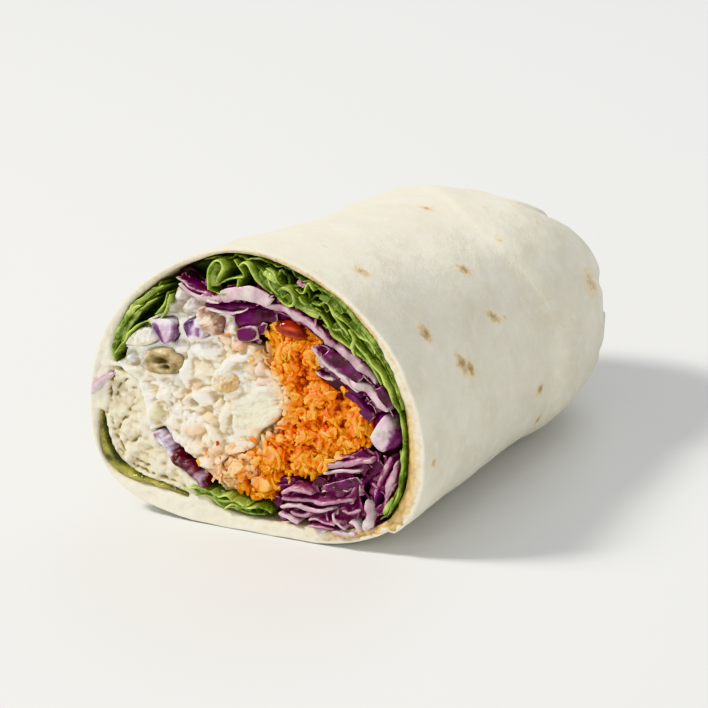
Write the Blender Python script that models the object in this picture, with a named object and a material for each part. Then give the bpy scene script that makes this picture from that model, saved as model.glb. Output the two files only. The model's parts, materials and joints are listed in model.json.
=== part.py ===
"""Half of a chicken salad wrap, lying on its flat underside with the cut face forward.

The roll runs along +Y, away from the cut. A point of it is given by three numbers in
millimetres: across (s, to the right), height (z) and depth (d, along the roll behind the
cut). place() turns these into metres. The roll narrows in a straight line away from the
cut, so an outline drawn on the cut face keeps clear of its neighbours all the way back.
"""
import math
import random

import bmesh
import bpy
from mathutils import Vector, geometry

MM = 0.001

# The roll
HALF_WIDTH = 36.0
MIDDLE_HEIGHT = 24.5        # height of the widest place
TOP_HEIGHT = 38.5           # from the widest place up to the crest
TOP_POWER = 1.85
BASE_POWER = 3.0
FLAT_DEPTH = 0.4            # how much of the round underside is pressed flat
LENGTH = 95.0
CUT_TURN = math.tan(math.radians(12.0))
END_TURN = 0.12             # the closed end leans a little as the cut does
HEIGHT_TAPER = 0.0025       # part of the height lost for each mm of depth
WIDTH_TAPER = 0.0018
FLAP_START = 56.0           # the end flap is tucked in from here on
FLAP_RUN = 8.0
FLAP_HEIGHT = 0.018
FLAP_WIDTH = 0.04
ROUND_START = 60.0          # the closed end rounds off from here on
ROUND_RUN = 47.0
ROUND_POWER = 2.6
END_MIDDLE = 31.0           # height that the closed end draws in to
END_DOME = ((0.88, 1.9), (0.7, 3.5), (0.48, 4.3), (0.24, 3.7))   # share of the last ring, rise
END_DIMPLE = 2.6            # rise at the middle of the end, lower than round it
# Folds of the closed end: angle, width of the fold, share pulled in (below zero it stands out)
FOLDS = ((38.0, 24.0, -0.07), (4.0, 9.0, 0.07), (84.0, 9.0, 0.05), (122.0, 11.0, 0.05),
         (206.0, 12.0, 0.09), (312.0, 12.0, 0.06))
FILL_DEPTH = 72.0           # how far the fillings run in

GAP = 0.3
HALF_GAP = GAP / 2
STEP = 2.6                  # spacing of points on an outline
LEAF = 1.1                  # leaf thickness

COLOURS = {
    "tortilla": (0.80, 0.72, 0.58),
    "lettuce": (0.13, 0.27, 0.03),
    "old_leaf": (0.16, 0.17, 0.03),
    "cabbage": (0.20, 0.02, 0.14),
    "cabbage_rib": (0.52, 0.33, 0.47),
    "carrot": (0.85, 0.20, 0.01),
    "salad": (0.84, 0.74, 0.60),
    "chicken": (0.70, 0.52, 0.34),
    "gherkin": (0.36, 0.31, 0.14),
    "onion": (0.42, 0.22, 0.38),
    "pepper": (0.50, 0.04, 0.02),
}

# Where the fillings meet, on the cut face
LUMP_TOP = (-28.7, 33.0)
WALL_START = (-30.3, 33.3)
LEAF_END = (-16.4, 53.2)
WALL_LEAF_END = (-17.9, 54.4)
RUFFLE_START = (-14.6, 54.9)
WALL_RUFFLE_START = (-15.8, 55.9)
CABBAGE_TIP = (-16.2, 51.8)
CARROT_TOP = (0.9, 41.3)
SHOULDER = (29.8, 32.0)
WALL_SHOULDER = (31.6, 32.4)
RIB_TOP = (22.9, 31.0)
RIB_BASE = (23.6, 23.0)
RIB_TOP_RIGHT = (29.9, 31.2)
RIB_BASE_RIGHT = (30.3, 22.4)
CORNER = (26.5, 8.7)
WALL_CORNER = (28.3, 8.5)
CARROT_BASE = (2.6, 6.9)
WALL_FRILL_START = (3.8, 3.4)
FRILL_END = (-7.2, 7.8)
LUMP_BASE = (-9.3, 4.7)
ONION_LOW = (-10.3, 7.9)
ONION_LOW_TOP = (-9.0, 9.5)
ONION_HIGH = (-22.0, 19.2)
ONION_HIGH_TOP = (-20.2, 19.9)


def smooth_path(keys, step=STEP):
    """Points along a smooth curve through the keys."""
    ends = [keys[0]] + list(keys) + [keys[-1]]
    points = []
    for before, start, end, after in zip(ends, ends[1:], ends[2:], ends[3:]):
        pieces = max(1, round(math.dist(start, end) / step))
        for i in range(pieces):
            t = i / pieces
            points.append(tuple(
                0.5 * (2 * b + (c - a) * t + (2 * a - 5 * b + 4 * c - d) * t * t
                       + (3 * b - a - 3 * c + d) * t ** 3)
                for a, b, c, d in zip(before, start, end, after)))
    return points + [tuple(keys[-1])]


# Curves that two neighbours share
WALL_LEFT = smooth_path([WALL_START, (-29.6, 39), (-26.3, 46), (-21.3, 51.2), WALL_LEAF_END])
WALL_TOP = smooth_path([WALL_RUFFLE_START, (-7, 60.1), (0, 60.9), (7, 59.7), (13, 57), (19, 53),
                        (24.5, 47.3), (28.5, 41), WALL_SHOULDER])
WALL_RIGHT = smooth_path([WALL_SHOULDER, (32.3, 26), (32.1, 20), (31.2, 14.5), WALL_CORNER])
WALL_BASE = smooth_path([WALL_CORNER, (25, 6), (19, 4.3), (12, 3.6), WALL_FRILL_START])
WALL_FRILL = smooth_path([WALL_FRILL_START, (-3, 3.6), LUMP_BASE])
LUMP_UNDER_ONION = smooth_path([ONION_LOW, (-14.5, 11), (-19.5, 14.9), ONION_HIGH])
LUMP_SIDE = smooth_path([ONION_HIGH, (-23.1, 25), (-24.8, 29.8), LUMP_TOP])
LEAF_INNER = smooth_path([LUMP_TOP, (-27.8, 38), (-25, 42), (-20.8, 45), (-17.8, 48.4), CABBAGE_TIP])
RUFFLE_INNER = smooth_path([RUFFLE_START, (-8, 52.7), (-3, 54.2), (0, 55), (5, 53.5), (8.5, 51.2),
                            (13, 49.6), (17.5, 46.6), (22, 43.4), (26, 39.6), (28.5, 35.8), SHOULDER])
RIGHT_INNER_HIGH = smooth_path([SHOULDER, RIB_TOP_RIGHT])
RIGHT_INNER_RIB = smooth_path([RIB_TOP_RIGHT, (30.4, 27), RIB_BASE_RIGHT])
RIGHT_INNER_LOW = smooth_path([RIB_BASE_RIGHT, (29.6, 15.5), (28.3, 11), CORNER])
CABBAGE_UNDER = smooth_path([CABBAGE_TIP, (-12, 50), (-8, 48.5), (-4.6, 47), (-3.7, 43.4),
                             (-1.6, 41.5), CARROT_TOP])
CARROT_OVER = smooth_path([CARROT_TOP, (2.6, 45.6), (5, 47.8), (9, 47.6), (13, 45.2), (14, 41.6),
                           (14, 37.4), (19, 35.3), RIB_TOP])
CARROT_RIB = smooth_path([RIB_TOP, (24, 27), RIB_BASE])
CARROT_UNDER = smooth_path([RIB_BASE, (19.5, 20.8), (16, 18), (13.5, 15), (7.5, 12.9), (4.2, 10),
                            CARROT_BASE])
CARROT_FRILL = smooth_path([CARROT_BASE, (-2.5, 7), FRILL_END])
CARROT_LEFT = smooth_path([FRILL_END, (-8.9, 11.5), (-6.5, 15.6), (-1, 18.5), (1, 22.8), (4.8, 26.2),
                           (5.8, 30.6), (4, 35), (1.6, 38.2), CARROT_TOP])
ONION_OVER = smooth_path([ONION_LOW_TOP, (-13.2, 13.1), (-18.2, 17.1), ONION_HIGH_TOP])
LEAF_POCKET = smooth_path([(-33.0, 24.0), (-32.6, 17.5), (-30.9, 12.2), (-27, 8.4), (-21, 6.7),
                           (-14.5, 5.9)])
POCKET_WIDTH = 2.2

# Pieces in the salad: outline on the cut face, and how deep each goes
CHUNKS = {
    "chicken_browned": ([(-10.8, 42.2), (-8.2, 41.6), (-6.6, 43.6), (-7.4, 46.4), (-10.3, 46.6)], 8),
    "chicken_pale": ([(-8.8, 31.2), (-6.2, 30.2), (-3.8, 31.6), (-4, 34.6), (-6.6, 35.8), (-8.6, 34)], 9),
    "chicken_white": ([(-27, 37.9), (-22.1, 38.3), (-21.8, 42), (-23.3, 42.2), (-25.5, 40.4)], 7),
    "gherkin": ([(-24, 33), (-20.5, 31.7), (-16, 32.6), (-15.2, 35.6), (-18, 37.5), (-22.8, 37)], 10),
    "onion_dice_left": ([(-20.8, 39.8), (-17.6, 39), (-16.4, 41.6), (-17.6, 44.6), (-20.2, 43.6)], 6),
    "onion_dice_right": ([(-14.6, 41.6), (-12.2, 40.8), (-11.3, 43), (-11.8, 45.8), (-14.2, 45.2)], 6),
}
PEPPER = [(4.6, 45.2), (6.6, 43.4), (9.6, 43.2), (10.4, 44.6), (8.6, 46.1), (5.6, 46.6)]
PEPPER_DEPTH = 8
SLIVER = [(-34.3, 25.6), (-33.2, 27.6), (-31.2, 29.2), (-29.2, 30.4)]

# Strips of cabbage that show on the cut: middle line, and thickness
TOP_STRIPS = [
    ([(-14.5, 52.4), (-10, 51.2), (-5.5, 49.4), (0, 49.8)], 1.7),
    ([(-4, 53), (0, 53.2), (4, 51.6), (8, 49.6)], 2.0),
    ([(3, 50.4), (10, 48.8), (16, 44.8), (20.5, 40.8)], 1.5),
    ([(-2.6, 43.6), (-0.6, 44.4), (0.6, 46.4)], 3.2),
    ([(15.5, 43.2), (20, 40.6), (24, 37.6), (27.6, 34)], 2.2),
    ([(16.5, 38.4), (20, 37.4), (23.5, 34.4)], 1.6),
    ([(24.8, 38.6), (27.4, 35.6), (28.6, 32.6)], 1.4),
]
BASE_STRIPS = [
    ([(25.6, 22.4), (28.6, 18.4), (28.8, 13)], 1.6),
    ([(18.6, 19), (23.4, 19.6), (27, 16.8)], 1.8),
    ([(14.6, 14.8), (20.4, 16.6), (26, 13.4)], 1.7),
    ([(6.4, 11.2), (12.4, 12.4), (18.6, 11.6), (25, 10.4)], 1.8),
    ([(5.2, 8.2), (11, 9.4), (17.4, 8.6), (23.6, 6.8)], 1.6),
    ([(5.4, 5.6), (11, 6), (17.4, 5.9)], 1.3),
    ([(21.4, 22), (23, 17), (21.6, 12.4)], 1.4),
]
STRIP_DEPTHS = (7.0, 11.0)

SHREDS = 46
SHRED_WIDTH = 1.7
SHRED_LENGTHS = (5.0, 10.0)
SHRED_SEED = 7


def place(s, z, d, outer=False):
    """Metres for a point of the roll; the outer skin has the flap and the round end."""
    high = 1 - HEIGHT_TAPER * d
    wide = 1 - WIDTH_TAPER * d
    if outer:
        t = min(max((d - FLAP_START) / FLAP_RUN, 0), 1)
        flap = t * t * (3 - 2 * t)
        t = min(max((d - ROUND_START) / ROUND_RUN, 0), 1)
        drawn_in = (1 - t ** ROUND_POWER) ** (1 / ROUND_POWER)
        high += FLAP_HEIGHT * flap
        wide = (wide + FLAP_WIDTH * flap) * drawn_in
        z = END_MIDDLE + (z - END_MIDDLE) * drawn_in
    turn = CUT_TURN + (END_TURN - CUT_TURN) * d / LENGTH
    return Vector((s * wide, s * turn + d, z * high)) * MM


def skin_outline(count):
    """Outline of the roll: an arch over a squarer base that is pressed flat."""
    points = []
    for i in range(count):
        angle = 2 * math.pi * (i + 0.5) / count
        c, s = math.cos(angle), math.sin(angle)
        power = TOP_POWER if s > 0 else BASE_POWER
        reach = TOP_HEIGHT if s > 0 else MIDDLE_HEIGHT
        r = (abs(c) ** power + abs(s) ** power) ** (-1 / power)
        points.append((HALF_WIDTH * r * c, max(0, MIDDLE_HEIGHT + reach * r * s - FLAT_DEPTH)))
    return points


def area(outline):
    return sum(a[0] * b[1] - b[0] * a[1] for a, b in zip(outline, outline[1:] + outline[:1])) / 2


def loop(*curves):
    """One outline, counter-clockwise, from curves that meet end to end."""
    points = []
    for curve in curves:
        for point in curve:
            if not points or math.dist(points[-1], point) > 0.01:
                points.append(point)
    if math.dist(points[0], points[-1]) < 0.01:
        points.pop()
    return points if area(points) > 0 else points[::-1]


def inset(outline, amount):
    """The outline drawn in by an amount, or let out by a negative one."""
    moved = []
    for before, here, after in zip(outline[-1:] + outline[:-1], outline, outline[1:] + outline[:1]):
        into = Vector((here[0] - before[0], here[1] - before[1])).normalized()
        out = Vector((after[0] - here[0], after[1] - here[1])).normalized()
        normal = Vector((-into.y - out.y, into.x + out.x))
        normal *= amount / max(1 + into.dot(out), 0.4)
        moved.append((here[0] + normal.x, here[1] + normal.y))
    return moved


def inside(point, outline):
    s, z = point
    crossed = False
    for (s0, z0), (s1, z1) in zip(outline, outline[1:] + outline[:1]):
        if (z0 > z) != (z1 > z) and s < s0 + (z - z0) * (s1 - s0) / (z1 - z0):
            crossed = not crossed
    return crossed


def ribbon(keys, thickness, step=STEP):
    """Outline of a strip along a middle line."""
    path = [Vector(p) for p in smooth_path(keys, step)]
    left, right = [], []
    for i, here in enumerate(path):
        along = (path[min(i + 1, len(path) - 1)] - path[max(i - 1, 0)]).normalized()
        side = Vector((-along.y, along.x)) * thickness / 2
        left.append(tuple(here + side))
        right.append(tuple(here - side))
    return loop(left, right[::-1])


def cap(outline, holes=(), spacing=0):
    """Flat triangles that fill an outline, with loose inner points on a grid if asked."""
    points, edges = [], []
    for ring in (outline, *holes):
        first = len(points)
        points += ring
        edges += [(first + i, first + (i + 1) % len(ring)) for i in range(len(ring))]
    if spacing:
        clear = inset(outline, spacing * 0.45)
        rows = range(round(min(z for _, z in outline) / spacing),
                     round(max(z for _, z in outline) / spacing) + 1)
        columns = range(round(-HALF_WIDTH / spacing), round(HALF_WIDTH / spacing) + 1)
        grid = [((c + 0.5 * (r % 2)) * spacing, r * spacing) for r in rows for c in columns]
        points += [p for p in grid if inside(p, clear)]
    made = geometry.delaunay_2d_cdt([Vector(p) for p in points], edges, [], 0, 1e-6)
    triangles = []
    for face in made[2]:
        corners = [made[0][i] for i in face]
        middle = sum(corners, Vector((0, 0))) / 3
        if inside(middle, outline) and not any(inside(middle, hole) for hole in holes):
            triangles.append(tuple(face))
    return points, triangles


def paint(thing, colour_name, roughness=0.6):
    """Give an object its own plain material."""
    material = bpy.data.materials.new(thing.name)
    material.use_nodes = True
    shader = material.node_tree.nodes["Principled BSDF"]
    shader.inputs["Base Color"].default_value = (*COLOURS[colour_name], 1)
    shader.inputs["Roughness"].default_value = roughness
    shader.inputs["Metallic"].default_value = 0
    thing.data.materials.append(material)


def add(name, mesh_builder):
    """Turn a bmesh into a named object, with its faces pointing out."""
    bmesh.ops.recalc_face_normals(mesh_builder, faces=mesh_builder.faces)
    bmesh.ops.triangulate(mesh_builder, faces=mesh_builder.faces)
    mesh = bpy.data.meshes.new(name)
    mesh_builder.to_mesh(mesh)
    mesh_builder.free()
    thing = bpy.data.objects.new(name, mesh)
    bpy.context.scene.collection.objects.link(thing)
    return thing


def stitch(bm, ring_a, ring_b):
    """Join two rings of points, one to one."""
    for i in range(len(ring_a)):
        j = (i + 1) % len(ring_a)
        bm.faces.new((ring_a[i], ring_a[j], ring_b[j], ring_b[i]))


def prism(name, outline, front=lambda s, z: 0.0, back=FILL_DEPTH, spacing=0):
    """A solid that runs back from the cut, with a front that may be uneven."""
    bm = bmesh.new()
    points, triangles = cap(outline, spacing=spacing)
    near = [bm.verts.new(place(s, z, front(s, z))) for s, z in points]
    for triangle in triangles:
        bm.faces.new([near[i] for i in triangle])
    far_points, far_triangles = cap(outline)
    far = [bm.verts.new(place(s, z, back)) for s, z in far_points]
    for triangle in far_triangles:
        bm.faces.new([far[i] for i in reversed(triangle)])
    stitch(bm, near[:len(outline)], far)
    return add(name, bm)


def combine(thing, others, operation):
    """Join, cut or trim an object with others, which are used up."""
    group = bpy.data.collections.new("cutters")
    bpy.context.scene.collection.children.link(group)
    for other in others:
        group.objects.link(other)
    modifier = thing.modifiers.new("combine", "BOOLEAN")
    modifier.operation = operation
    modifier.solver = "EXACT"
    modifier.use_self = operation == "UNION"
    modifier.operand_type = "COLLECTION"
    modifier.collection = group
    evaluated = thing.evaluated_get(bpy.context.evaluated_depsgraph_get())
    mesh = bpy.data.meshes.new_from_object(evaluated)
    thing.modifiers.clear()
    for other in others:
        bpy.data.objects.remove(other)
    bpy.data.collections.remove(group)
    bm = bmesh.new()
    bm.from_mesh(mesh)
    bmesh.ops.remove_doubles(bm, verts=bm.verts, dist=0.02 * MM)
    bmesh.ops.dissolve_degenerate(bm, dist=0.02 * MM, edges=bm.edges)
    drop_scraps(bm)
    bmesh.ops.triangulate(bm, faces=bm.faces)
    bm.to_mesh(thing.data)
    bm.free()


def drop_scraps(bm):
    """Keep the largest connected body."""
    left = set(bm.verts)
    bodies = []
    while left:
        body, front = set(), [left.pop()]
        while front:
            vert = front.pop()
            body.add(vert)
            for edge in vert.link_edges:
                other = edge.other_vert(vert)
                if other in left:
                    left.remove(other)
                    front.append(other)
        bodies.append(body)
    largest = max(bodies, key=len)
    bmesh.ops.delete(bm, geom=[v for v in bm.verts if v not in largest], context="VERTS")


# Outlines of the fillings, clear of their neighbours by half the gap
LEFT_LEAF_SPACE = loop(WALL_LEFT, [WALL_LEAF_END, LEAF_END, CABBAGE_TIP], LEAF_INNER[::-1],
                       [LUMP_TOP, WALL_START])
RUFFLE_SPACE = loop(WALL_TOP, [WALL_SHOULDER, SHOULDER], RUFFLE_INNER[::-1])
RIGHT_LEAF_SPACE = loop(WALL_RIGHT, [WALL_CORNER, CORNER], RIGHT_INNER_LOW[::-1],
                        RIGHT_INNER_RIB[::-1], RIGHT_INNER_HIGH[::-1], [SHOULDER, WALL_SHOULDER])
FRILL_SPACE = loop(WALL_FRILL, [LUMP_BASE, ONION_LOW, ONION_LOW_TOP, FRILL_END],
                   CARROT_FRILL[::-1], [CARROT_BASE, WALL_FRILL_START])
CABBAGE_TOP_SPACE = loop([WALL_LEAF_END, WALL_RUFFLE_START, RUFFLE_START], RUFFLE_INNER,
                         RIGHT_INNER_HIGH, [RIB_TOP_RIGHT, RIB_TOP], CARROT_OVER[::-1],
                         CABBAGE_UNDER[::-1], [CABBAGE_TIP, LEAF_END, WALL_LEAF_END])
CABBAGE_BASE_SPACE = loop([RIB_BASE, RIB_BASE_RIGHT], RIGHT_INNER_LOW, [CORNER, WALL_CORNER],
                          WALL_BASE, [WALL_FRILL_START, CARROT_BASE], CARROT_UNDER[::-1])
CARROT_SPACE = loop(CARROT_OVER, CARROT_RIB, CARROT_UNDER, CARROT_FRILL, CARROT_LEFT)
ONION_SPACE = loop(LUMP_UNDER_ONION, [ONION_HIGH, ONION_HIGH_TOP], ONION_OVER[::-1],
                   [ONION_LOW_TOP, ONION_LOW])
SALAD_SPACE = loop(CABBAGE_UNDER, CARROT_LEFT[::-1], [FRILL_END, ONION_LOW_TOP], ONION_OVER,
                   [ONION_HIGH_TOP, ONION_HIGH], LUMP_SIDE, LEAF_INNER)
CAVITY = loop(WALL_LEFT, [WALL_LEAF_END, WALL_RUFFLE_START], WALL_TOP, WALL_RIGHT, WALL_BASE,
              WALL_FRILL, [LUMP_BASE, ONION_LOW], LUMP_UNDER_ONION, LUMP_SIDE,
              [LUMP_TOP, WALL_START])


def fold(ring, depth):
    """Pull a ring of the closed end in along its creases, and out at its corner."""
    reach = min(max((depth - ROUND_START) / (LENGTH - ROUND_START), 0), 1)
    middle = sum(ring, Vector()) / len(ring)
    pulled = []
    for i, spot in enumerate(ring):
        angle = 360 * (i + 0.5) / len(ring)
        share = sum(deep * math.exp(-(((angle - at) / width) ** 2)) for at, width, deep in FOLDS)
        pulled.append(spot.lerp(middle, share * reach))
    return pulled


def tortilla():
    """The rolled skin: a closed end behind, and the fillings' room and a leaf pocket in front."""
    around = 44
    depths = [0, 14, 28, 42, 54, 58, 61, 65, 70, 76, 81, 86, 90, 93, LENGTH]
    bm = bmesh.new()
    skin = skin_outline(around)
    rooms = [inset(CAVITY, -HALF_GAP), ribbon(LEAF_POCKET, POCKET_WIDTH)]
    points, triangles = cap(skin, holes=rooms)
    front = [bm.verts.new(place(s, z, 0, outer=True)) for s, z in points]
    for triangle in triangles:
        bm.faces.new([front[i] for i in triangle])
    rings = [front[:around]]
    for depth in depths[1:]:
        spots = fold([place(s, z, depth, outer=True) for s, z in skin], depth)
        rings.append([bm.verts.new(spot) for spot in spots])
    for near, far in zip(rings, rings[1:]):
        stitch(bm, near, far)
    middle = sum((v.co for v in rings[-1]), Vector()) / around
    edge = rings[-1]
    for share, rise in END_DOME:
        ring = [bm.verts.new(middle.lerp(vert.co, share) + Vector((0, rise * MM, 0)))
                for vert in rings[-1]]
        stitch(bm, edge, ring)
        edge = ring
    tip = bm.verts.new(middle + Vector((0, END_DIMPLE * MM, 0)))
    for i in range(around):
        bm.faces.new((edge[i], edge[(i + 1) % around], tip))
    first = around
    for room in rooms:
        mouth = front[first:first + len(room)]
        first += len(room)
        back_points, back_triangles = cap(room)
        floor = [bm.verts.new(place(s, z, FILL_DEPTH + GAP)) for s, z in back_points]
        stitch(bm, mouth, floor)
        for triangle in back_triangles:
            bm.faces.new([floor[i] for i in triangle])
    paint(add("tortilla", bm), "tortilla", 0.75)


def lumps(s, z, size, height, seed):
    """Rounded bumps of a given size over the cut face."""
    rng = random.Random(seed)
    shift = (rng.uniform(0, size), rng.uniform(0, size))
    wave = math.sin((s + shift[0]) * 2 * math.pi / size) * math.cos((z + shift[1]) * 2 * math.pi / size)
    slow = math.sin((s - z + shift[1]) * 2 * math.pi / (2.7 * size))
    return height * (0.7 * wave + 0.5 * slow)


def salad():
    """Chicken in dressing, lumpy on the cut, with sockets for the pieces in it."""
    thing = prism("chicken_salad", inset(SALAD_SPACE, HALF_GAP),
                  front=lambda s, z: lumps(s, z, 6.5, 0.9, 3), spacing=2.4)
    sockets = []
    for name, (outline, depth) in CHUNKS.items():
        middle = (sum(s for s, _ in outline) / len(outline), sum(z for _, z in outline) / len(outline))
        body = prism(name, outline, front=lambda s, z: -1.2 + 0.1 * math.dist((s, z), middle) ** 2,
                     back=depth, spacing=1.9)
        kind = "chicken" if "chicken" in name else "gherkin" if name == "gherkin" else "onion"
        paint(body, kind)
        sockets.append(prism(name + "_socket", inset(outline, -GAP),
                             front=lambda s, z: -8, back=depth + GAP))
    combine(thing, sockets, "DIFFERENCE")
    paint(thing, "salad", 0.45)


def strip_body(name, keys, thickness, back):
    """One cut strip of leaf, its front a little uneven."""
    return prism(name, ribbon(keys, thickness, step=3.4),
                 front=lambda s, z: 0.9 * math.sin(0.55 * s + 0.8 * z), back=back)


def cabbage(name, space, strips):
    """A bundle of strips on a core that stands back from the cut."""
    thing = prism(name, inset(space, 0.28), front=lambda s, z: 3.2)
    rng = random.Random(name)
    bodies = [strip_body("strip", keys, thickness, rng.uniform(*STRIP_DEPTHS))
              for keys, thickness in strips]
    combine(thing, bodies, "UNION")
    combine(thing, [prism("room", inset(space, HALF_GAP), front=lambda s, z: -6)], "INTERSECT")
    paint(thing, "cabbage", 0.4)


def shred(rng, s, z):
    """One bent shred of carrot near the cut, four-sided."""
    length = rng.uniform(*SHRED_LENGTHS)
    turn = rng.uniform(0, math.pi)
    bend = rng.uniform(-0.9, 0.9)
    rise = rng.uniform(-0.45, 0.45)
    start = rng.uniform(0.4, 2.6)
    bm = bmesh.new()
    rings = []
    here = Vector((s, z, start))
    for i in range(4):
        angle = turn + bend * i / 3
        along = Vector((math.cos(angle), math.sin(angle), rise))
        side = Vector((-math.sin(angle), math.cos(angle), 0)) * SHRED_WIDTH / 2
        up = Vector((0, 0, SHRED_WIDTH / 2))
        corners = [here + side + up, here + side - up, here - side - up, here - side + up]
        rings.append([bm.verts.new(place(*corner)) for corner in corners])
        here = here + along * length / 3
    for near, far in zip(rings, rings[1:]):
        stitch(bm, near, far)
    bm.faces.new(rings[0])
    bm.faces.new(rings[-1][::-1])
    return add("shred", bm)


def carrot():
    """Grated carrot: shreds on a core, trimmed to its own room."""
    thing = prism("carrot", inset(CARROT_SPACE, 0.28), front=lambda s, z: 2.6 + lumps(s, z, 7, 0.5, 5),
                  spacing=4.5)
    rng = random.Random(SHRED_SEED)
    room = inset(CARROT_SPACE, 1.2)
    low = min(z for _, z in room)
    high = max(z for _, z in room)
    left = min(s for s, _ in room)
    right = max(s for s, _ in room)
    spots = []
    while len(spots) < SHREDS:
        spot = (rng.uniform(left, right), rng.uniform(low, high))
        if inside(spot, room) and all(math.dist(spot, other) > 2.3 for other in spots):
            spots.append(spot)
    combine(thing, [shred(rng, *spot) for spot in spots], "UNION")
    combine(thing, [prism("room", inset(CARROT_SPACE, HALF_GAP), front=lambda s, z: -6)], "INTERSECT")
    combine(thing, [prism("socket", inset(PEPPER, -GAP), front=lambda s, z: -8,
                          back=PEPPER_DEPTH + GAP)], "DIFFERENCE")
    paint(thing, "carrot", 0.5)
    paint(prism("pepper_piece", PEPPER, front=lambda s, z: -0.6, back=PEPPER_DEPTH), "pepper", 0.3)


def across(inner, outer, u, v):
    """A point between two curves: u along them, v from the inner to the outer."""
    spots = []
    for curve in (inner, outer):
        at = u * (len(curve) - 1)
        i = min(int(at), len(curve) - 2)
        spots.append(Vector(curve[i]).lerp(Vector(curve[i + 1]), at - i))
    return tuple(spots[0].lerp(spots[1], v))


def leaf(name, space, keys, thickness=LEAF, lean=0.0):
    """A thin leaf that runs back from the cut, kept in its own room."""
    thing = prism(name, ribbon(keys, thickness, step=1.5),
                  front=lambda s, z: lean + 0.7 * math.sin(0.9 * s + 0.5 * z))
    combine(thing, [prism("room", inset(space, HALF_GAP), front=lambda s, z: -6)], "INTERSECT")
    paint(thing, "lettuce", 0.4)


def wavy(inner, outer, start, end, middle, swing, waves):
    """Keys of a wavy line between two curves."""
    steps = 4 * waves
    return [across(inner, outer, start + (end - start) * i / steps,
                   middle + swing * math.sin(2 * math.pi * waves * i / steps))
            for i in range(steps + 1)]


def leaves():
    """Lettuce all round under the skin, and the old leaf in the pocket."""
    leaf("lettuce_left", LEFT_LEAF_SPACE, wavy(LEAF_INNER, WALL_LEFT, 0.06, 0.9, 0.76, 0.06, 3))
    leaf("lettuce_left_inner", LEFT_LEAF_SPACE, wavy(LEAF_INNER, WALL_LEFT, 0.36, 0.86, 0.2, 0.03, 2),
         thickness=0.8)
    leaf("lettuce_top", RUFFLE_SPACE, wavy(RUFFLE_INNER, WALL_TOP, 0.03, 0.55, 0.5, 0.26, 5), lean=-0.5)
    leaf("lettuce_shoulder", RUFFLE_SPACE, wavy(RUFFLE_INNER, WALL_TOP, 0.6, 0.97, 0.8, 0.03, 3))
    leaf("lettuce_shoulder_inner", RUFFLE_SPACE,
         wavy(RUFFLE_INNER, WALL_TOP, 0.6, 0.84, 0.3, 0.1, 3), lean=-0.3)
    inner_right = RIGHT_INNER_HIGH + RIGHT_INNER_RIB[1:] + RIGHT_INNER_LOW[1:]
    leaf("lettuce_right", RIGHT_LEAF_SPACE, wavy(inner_right, WALL_RIGHT, 0.04, 0.95, 0.5, 0.12, 3))
    frill = [(3.0, 5.3), (-0.4, 5.0), (-3.6, 5.9), (-6.6, 5.6), (-8.4, 6.9)]
    leaf("lettuce_base", FRILL_SPACE, frill)
    tucked = prism("tucked_leaf", inset(ribbon(LEAF_POCKET, POCKET_WIDTH), GAP))
    paint(tucked, "old_leaf", 0.35)


def small_pieces():
    """The onion strip by the skin's inner end, the pale rib and the loose sliver."""
    paint(prism("onion_strip", inset(ONION_SPACE, HALF_GAP),
                front=lambda s, z: 0.4 * math.sin(s)), "onion", 0.4)
    rib = [(27.0 + 2.9 * math.cos(a), 26.9 + 3.9 * math.sin(a) - 0.12 * 2.9 * math.cos(a))
           for a in (2 * math.pi * i / 14 for i in range(14))]
    paint(prism("cabbage_rib", rib, front=lambda s, z: -0.4), "cabbage_rib", 0.35)
    sliver = prism("cabbage_sliver", ribbon(SLIVER, 1.1), front=lambda s, z: -1.5, back=-GAP)
    paint(sliver, "cabbage_rib", 0.4)


def stand_at_origin():
    """Move everything so that the middle of its box, at the bottom, is the origin."""
    corners = [v.co for thing in bpy.data.objects for v in thing.data.vertices]
    middle = Vector((
        (min(c.x for c in corners) + max(c.x for c in corners)) / 2,
        (min(c.y for c in corners) + max(c.y for c in corners)) / 2,
        min(c.z for c in corners)))
    for thing in bpy.data.objects:
        for vert in thing.data.vertices:
            vert.co -= middle
        thing.data.shade_smooth()
        thing.data.set_sharp_from_angle(angle=math.radians(40))


def main():
    for thing in list(bpy.data.objects):
        bpy.data.objects.remove(thing)
    tortilla()
    salad()
    cabbage("cabbage_top", CABBAGE_TOP_SPACE, TOP_STRIPS)
    cabbage("cabbage_base", CABBAGE_BASE_SPACE, BASE_STRIPS)
    carrot()
    leaves()
    small_pieces()
    stand_at_origin()


main()
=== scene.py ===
"""Looks of the half wrap: tortilla, chicken salad, carrot, red cabbage and lettuce.

As in the CAD, a point of the roll is given in millimetres by three numbers: across (s, to
the right), height (z) and depth (d, along the roll behind the cut). place() turns these
into metres in the frame. Every mesh is worked out in these numbers first. A flat array
holds places on the cut alone, as (s, z).
"""
import json
import math

import bpy
import numpy as np
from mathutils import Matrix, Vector, geometry

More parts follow.
